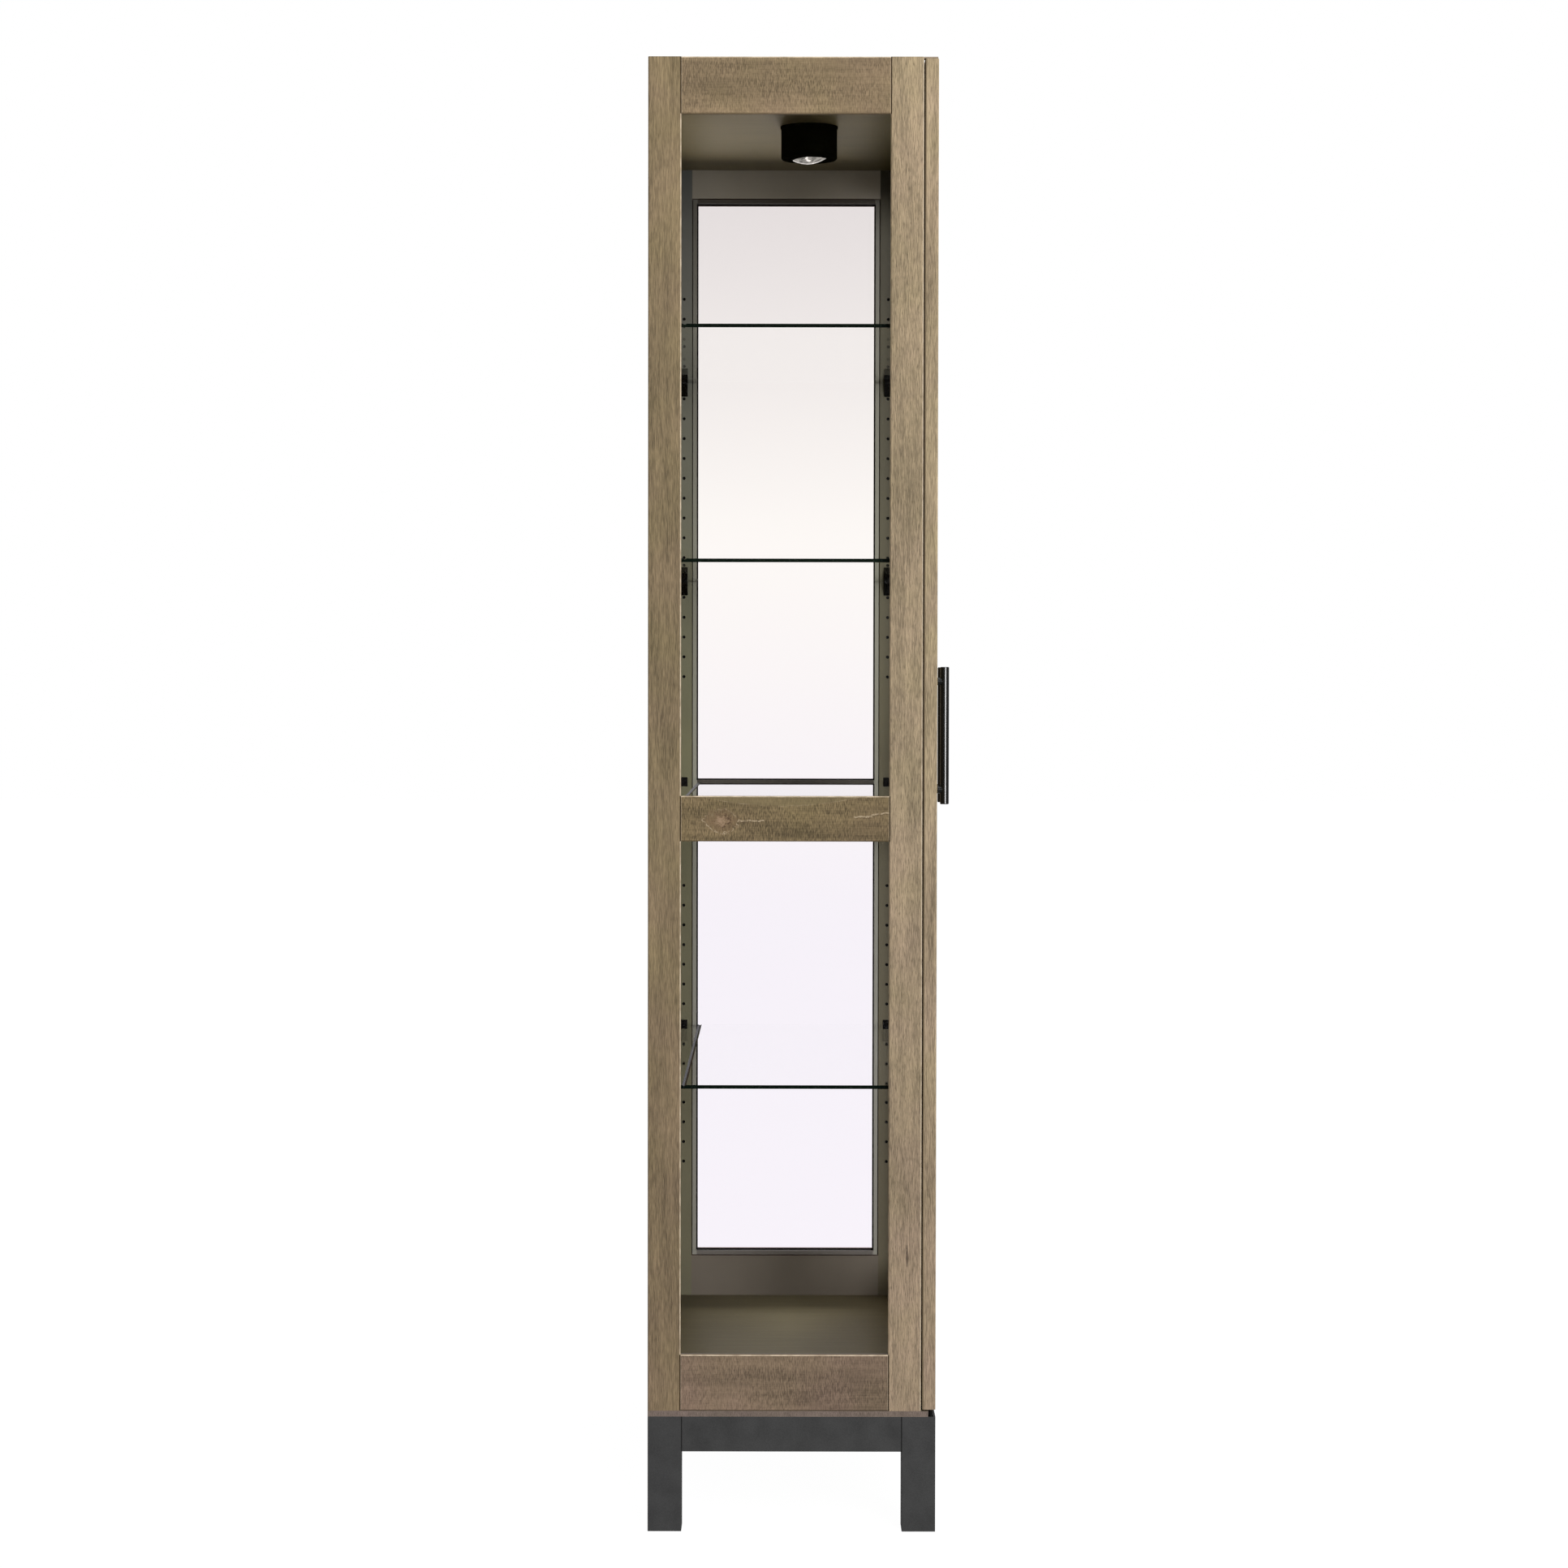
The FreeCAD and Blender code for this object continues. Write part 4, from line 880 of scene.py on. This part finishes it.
def dress_case():
    for side in SIDES:
        for stile in STILES:
            dress(stile_wood(side, stile), f"{side}_{stile}")
        for rail in RAILS:
            dress(rail_wood(side, rail), f"{side}_{rail}")
    dress(level_wood("top_panel", STILE_TONES, DOWNWARD, CEILING), "top_panel")
    dress(level_wood("bottom_board", BOARD_TONES, UPWARD, FLOOR), "bottom_board")
    dress(plain_wood("back_wood", STILE_TONES, "Z"), "back_panel")
    dress(plain_wood("bare_wood", BARE_TONES, "X"), "corner_blocks")
    dress(charcoal("leg_paint"), *LEGS)
    for side, axis in APRON_AXES.items():
        dress(apron_paint(side, axis), f"{side}_apron")


def dress_doors():
    for side in SIDES:
        for piece in DOOR_PIECES:
            dress(door_wood(side, piece), f"{side}_door_{piece}")


def dress_glass():
    pane = pane_glass()
    for side in SIDES:
        for node, axis in ((f"{side}_glass_stops", "Y"), (f"{side}_door_glass_stops", "X")):
            dress(stop_paint(node, axis), node)
        dress(pane, f"{side}_upper_glass", f"{side}_lower_glass", f"{side}_door_glass")
    dress(shelf_glass(), *SHELVES)


def dress_metal():
    satin = coated_metal("black_metal", SATIN_BLACK)
    dress(satin, "shelf_supports", "lower_pivot_pins", "left_handle", "right_handle")
    dress(coated_metal("lamp_black", DULL_BLACK), "lamp_housing", "lamp_reflector")
    dress(coated_metal("taupe_metal", TAUPE_COAT), "upper_pivot_plates")
    steel = bright_steel()
    dress(steel, "base_screws", "door_magnets")
    for side in SIDES:
        dress(steel, f"{side}_handle_screws", f"{side}_door_strike")


def shown_directly(tree):
    """One for what is seen straight on, through glass or in a mirror."""
    path = tree.nodes.new("ShaderNodeLightPath")
    plain = tree.nodes.new("ShaderNodeMath")
    plain.operation = "MAXIMUM"
    tree.links.new(path.outputs["Is Camera Ray"], plain.inputs[0])
    tree.links.new(path.outputs["Is Singular Ray"], plain.inputs[1])
    return plain.outputs[0]


PAPER_SIZE = 60
PAPER_PATCH = 0.4
PAPER_DARK = (0.050, 0.050, 0.050, 1)
PAPER_LIGHT = (0.060, 0.060, 0.060, 1)
PAPER_ROUGH = 0.9
PAPER_GLOW = (0.38, 0.98)


def white_floor():
    """A sheet of white paper that shows white, and throws back less light than it shows."""
    bpy.ops.mesh.primitive_plane_add(size=PAPER_SIZE, location=(0, 0, cad_box[0].z))
    floor = bpy.context.object
    floor.name = "floor"
    finish = Finish("floor_paper")
    finish.set(
        Base_Color=finish.mix(finish.noise(PAPER_PATCH), PAPER_DARK, PAPER_LIGHT),
        Roughness=PAPER_ROUGH,
        Specular_IOR_Level=0.0,
        Emission_Color=WHITE,
        Emission_Strength=finish.ramp(shown_directly(finish.tree), 0, 1, *PAPER_GLOW),
    )
    floor.data.materials.append(finish.material)


ROOM_LIGHT = 0.5
ROOM_SHOWN = 1.0


def white_room():
    """A white backdrop whose light on the case is dimmer than it shows."""
    scene = bpy.context.scene
    scene.view_settings.view_transform = "Standard"
    scene.world = bpy.data.worlds.new("white_room")
    scene.world.use_nodes = True
    tree = scene.world.node_tree
    room = tree.nodes["Background"]
    backdrop = tree.nodes.new("ShaderNodeBackground")
    for shader, strength in ((room, ROOM_LIGHT), (backdrop, ROOM_SHOWN)):
        shader.inputs["Color"].default_value = WHITE
        shader.inputs["Strength"].default_value = strength
    shown = tree.nodes.new("ShaderNodeMixShader")
    tree.links.new(shown_directly(tree), shown.inputs[0])
    tree.links.new(room.outputs[0], shown.inputs[1])
    tree.links.new(backdrop.outputs[0], shown.inputs[2])
    tree.links.new(shown.outputs[0], tree.nodes["World Output"].inputs["Surface"])


def soft_box(name, spot, aim, size, power):
    """A rectangular light that doesn't show itself."""
    lamp = bpy.data.lights.new(name, "AREA")
    lamp.shape = "RECTANGLE"
    lamp.size, lamp.size_y = size
    lamp.energy = power
    light = bpy.data.objects.new(name, lamp)
    light.location = spot
    light.rotation_euler = (Vector(aim) - Vector(spot)).to_track_quat("-Z", "Y").to_euler()
    light.visible_camera = False
    bpy.context.collection.objects.link(light)
    return light


def shine_on(light, names):
    """Keeps a light to some CAD nodes."""
    lit = bpy.data.collections.new(f"{light.name}_lit")
    for name in sorted(set(names)):
        lit.objects.link(nodes[name])
    light.light_linking.receiver_collection = lit


def front_side():
    """The nodes that show from the front, apart from the black metal."""
    doors = [f"{side}_door_{piece}" for side in SIDES for piece in DOOR_PIECES]
    return [*doors, *LEGS, "front_apron", "back_panel"]


def far_side():
    """The nodes that show outside from the right and from behind."""
    outer = [name for name in nodes if name.startswith(("right_", "back_")) and not name.endswith("stops")]
    return [*outer, *LEGS, "left_back_stile", "top_panel", "front_apron"]


CASE_MIDDLE = (0, 0, 1.1)
TALL_BOX = (2.4, 3.0)
BEYOND_SPREAD = math.radians(70)


def studio():
    """A white room with soft boxes on each side and above, and small ones for chosen pieces."""
    white_floor()
    white_room()
    soft_box("key", spot=(-5.3, -1.9, 2.35), aim=CASE_MIDDLE, size=TALL_BOX, power=280)
    soft_box("top", spot=(-0.6, -0.6, 4.2), aim=(0, 0, 1.0), size=(2.5, 2.5), power=60)
    front = soft_box("front", spot=(1.2, -4.6, 2.3), aim=CASE_MIDDLE, size=TALL_BOX, power=170)
    shine_on(front, front_side())
    rear = soft_box("rear", spot=(4.2, 4.0, 2.6), aim=CASE_MIDDLE, size=TALL_BOX, power=380)
    shine_on(rear, far_side())
    beyond = soft_box("beyond", spot=(3.2, -0.5, 1.1), aim=CASE_MIDDLE, size=(2.2, 1.6), power=150)
    beyond.visible_glossy = False
    beyond.data.spread = BEYOND_SPREAD
    shine_on(beyond, ["top_panel"])
    slant = soft_box("slant", spot=(3.0, -0.4, 1.6), aim=(0, 0, 0.2), size=(1.6, 0.7), power=130)
    slant.visible_glossy = False
    shine_on(slant, ["bottom_board"])
    glint = soft_box("glint", spot=(-5.1, -2.5, 1.0), aim=(0, -0.2, 1.1), size=(1.8, 1.8), power=520)
    shine_on(glint, ["left_handle", "right_handle"])


CAMERA_SPOT = Vector((-5.1853, 0.0247, 1.1566))
CAMERA_AIM = Vector((0, 0.0295, 1.0117))
CAMERA_ROLL = 0.00154
CAMERA_LENS = 79.74


def camera():
    data = bpy.data.cameras.new("camera")
    data.lens = CAMERA_LENS
    eye = bpy.data.objects.new("camera", data)
    level = (CAMERA_AIM - CAMERA_SPOT).to_track_quat("-Z", "Y").to_matrix()
    turned = level @ Matrix.Rotation(CAMERA_ROLL, 3, "Z")
    eye.matrix_world = Matrix.Translation(CAMERA_SPOT) @ turned.to_4x4()
    bpy.context.collection.objects.link(eye)
    bpy.context.scene.camera = eye


dress_case()
dress_doors()
dress_glass()
dress_metal()
faceted_lens()
studio()
camera()
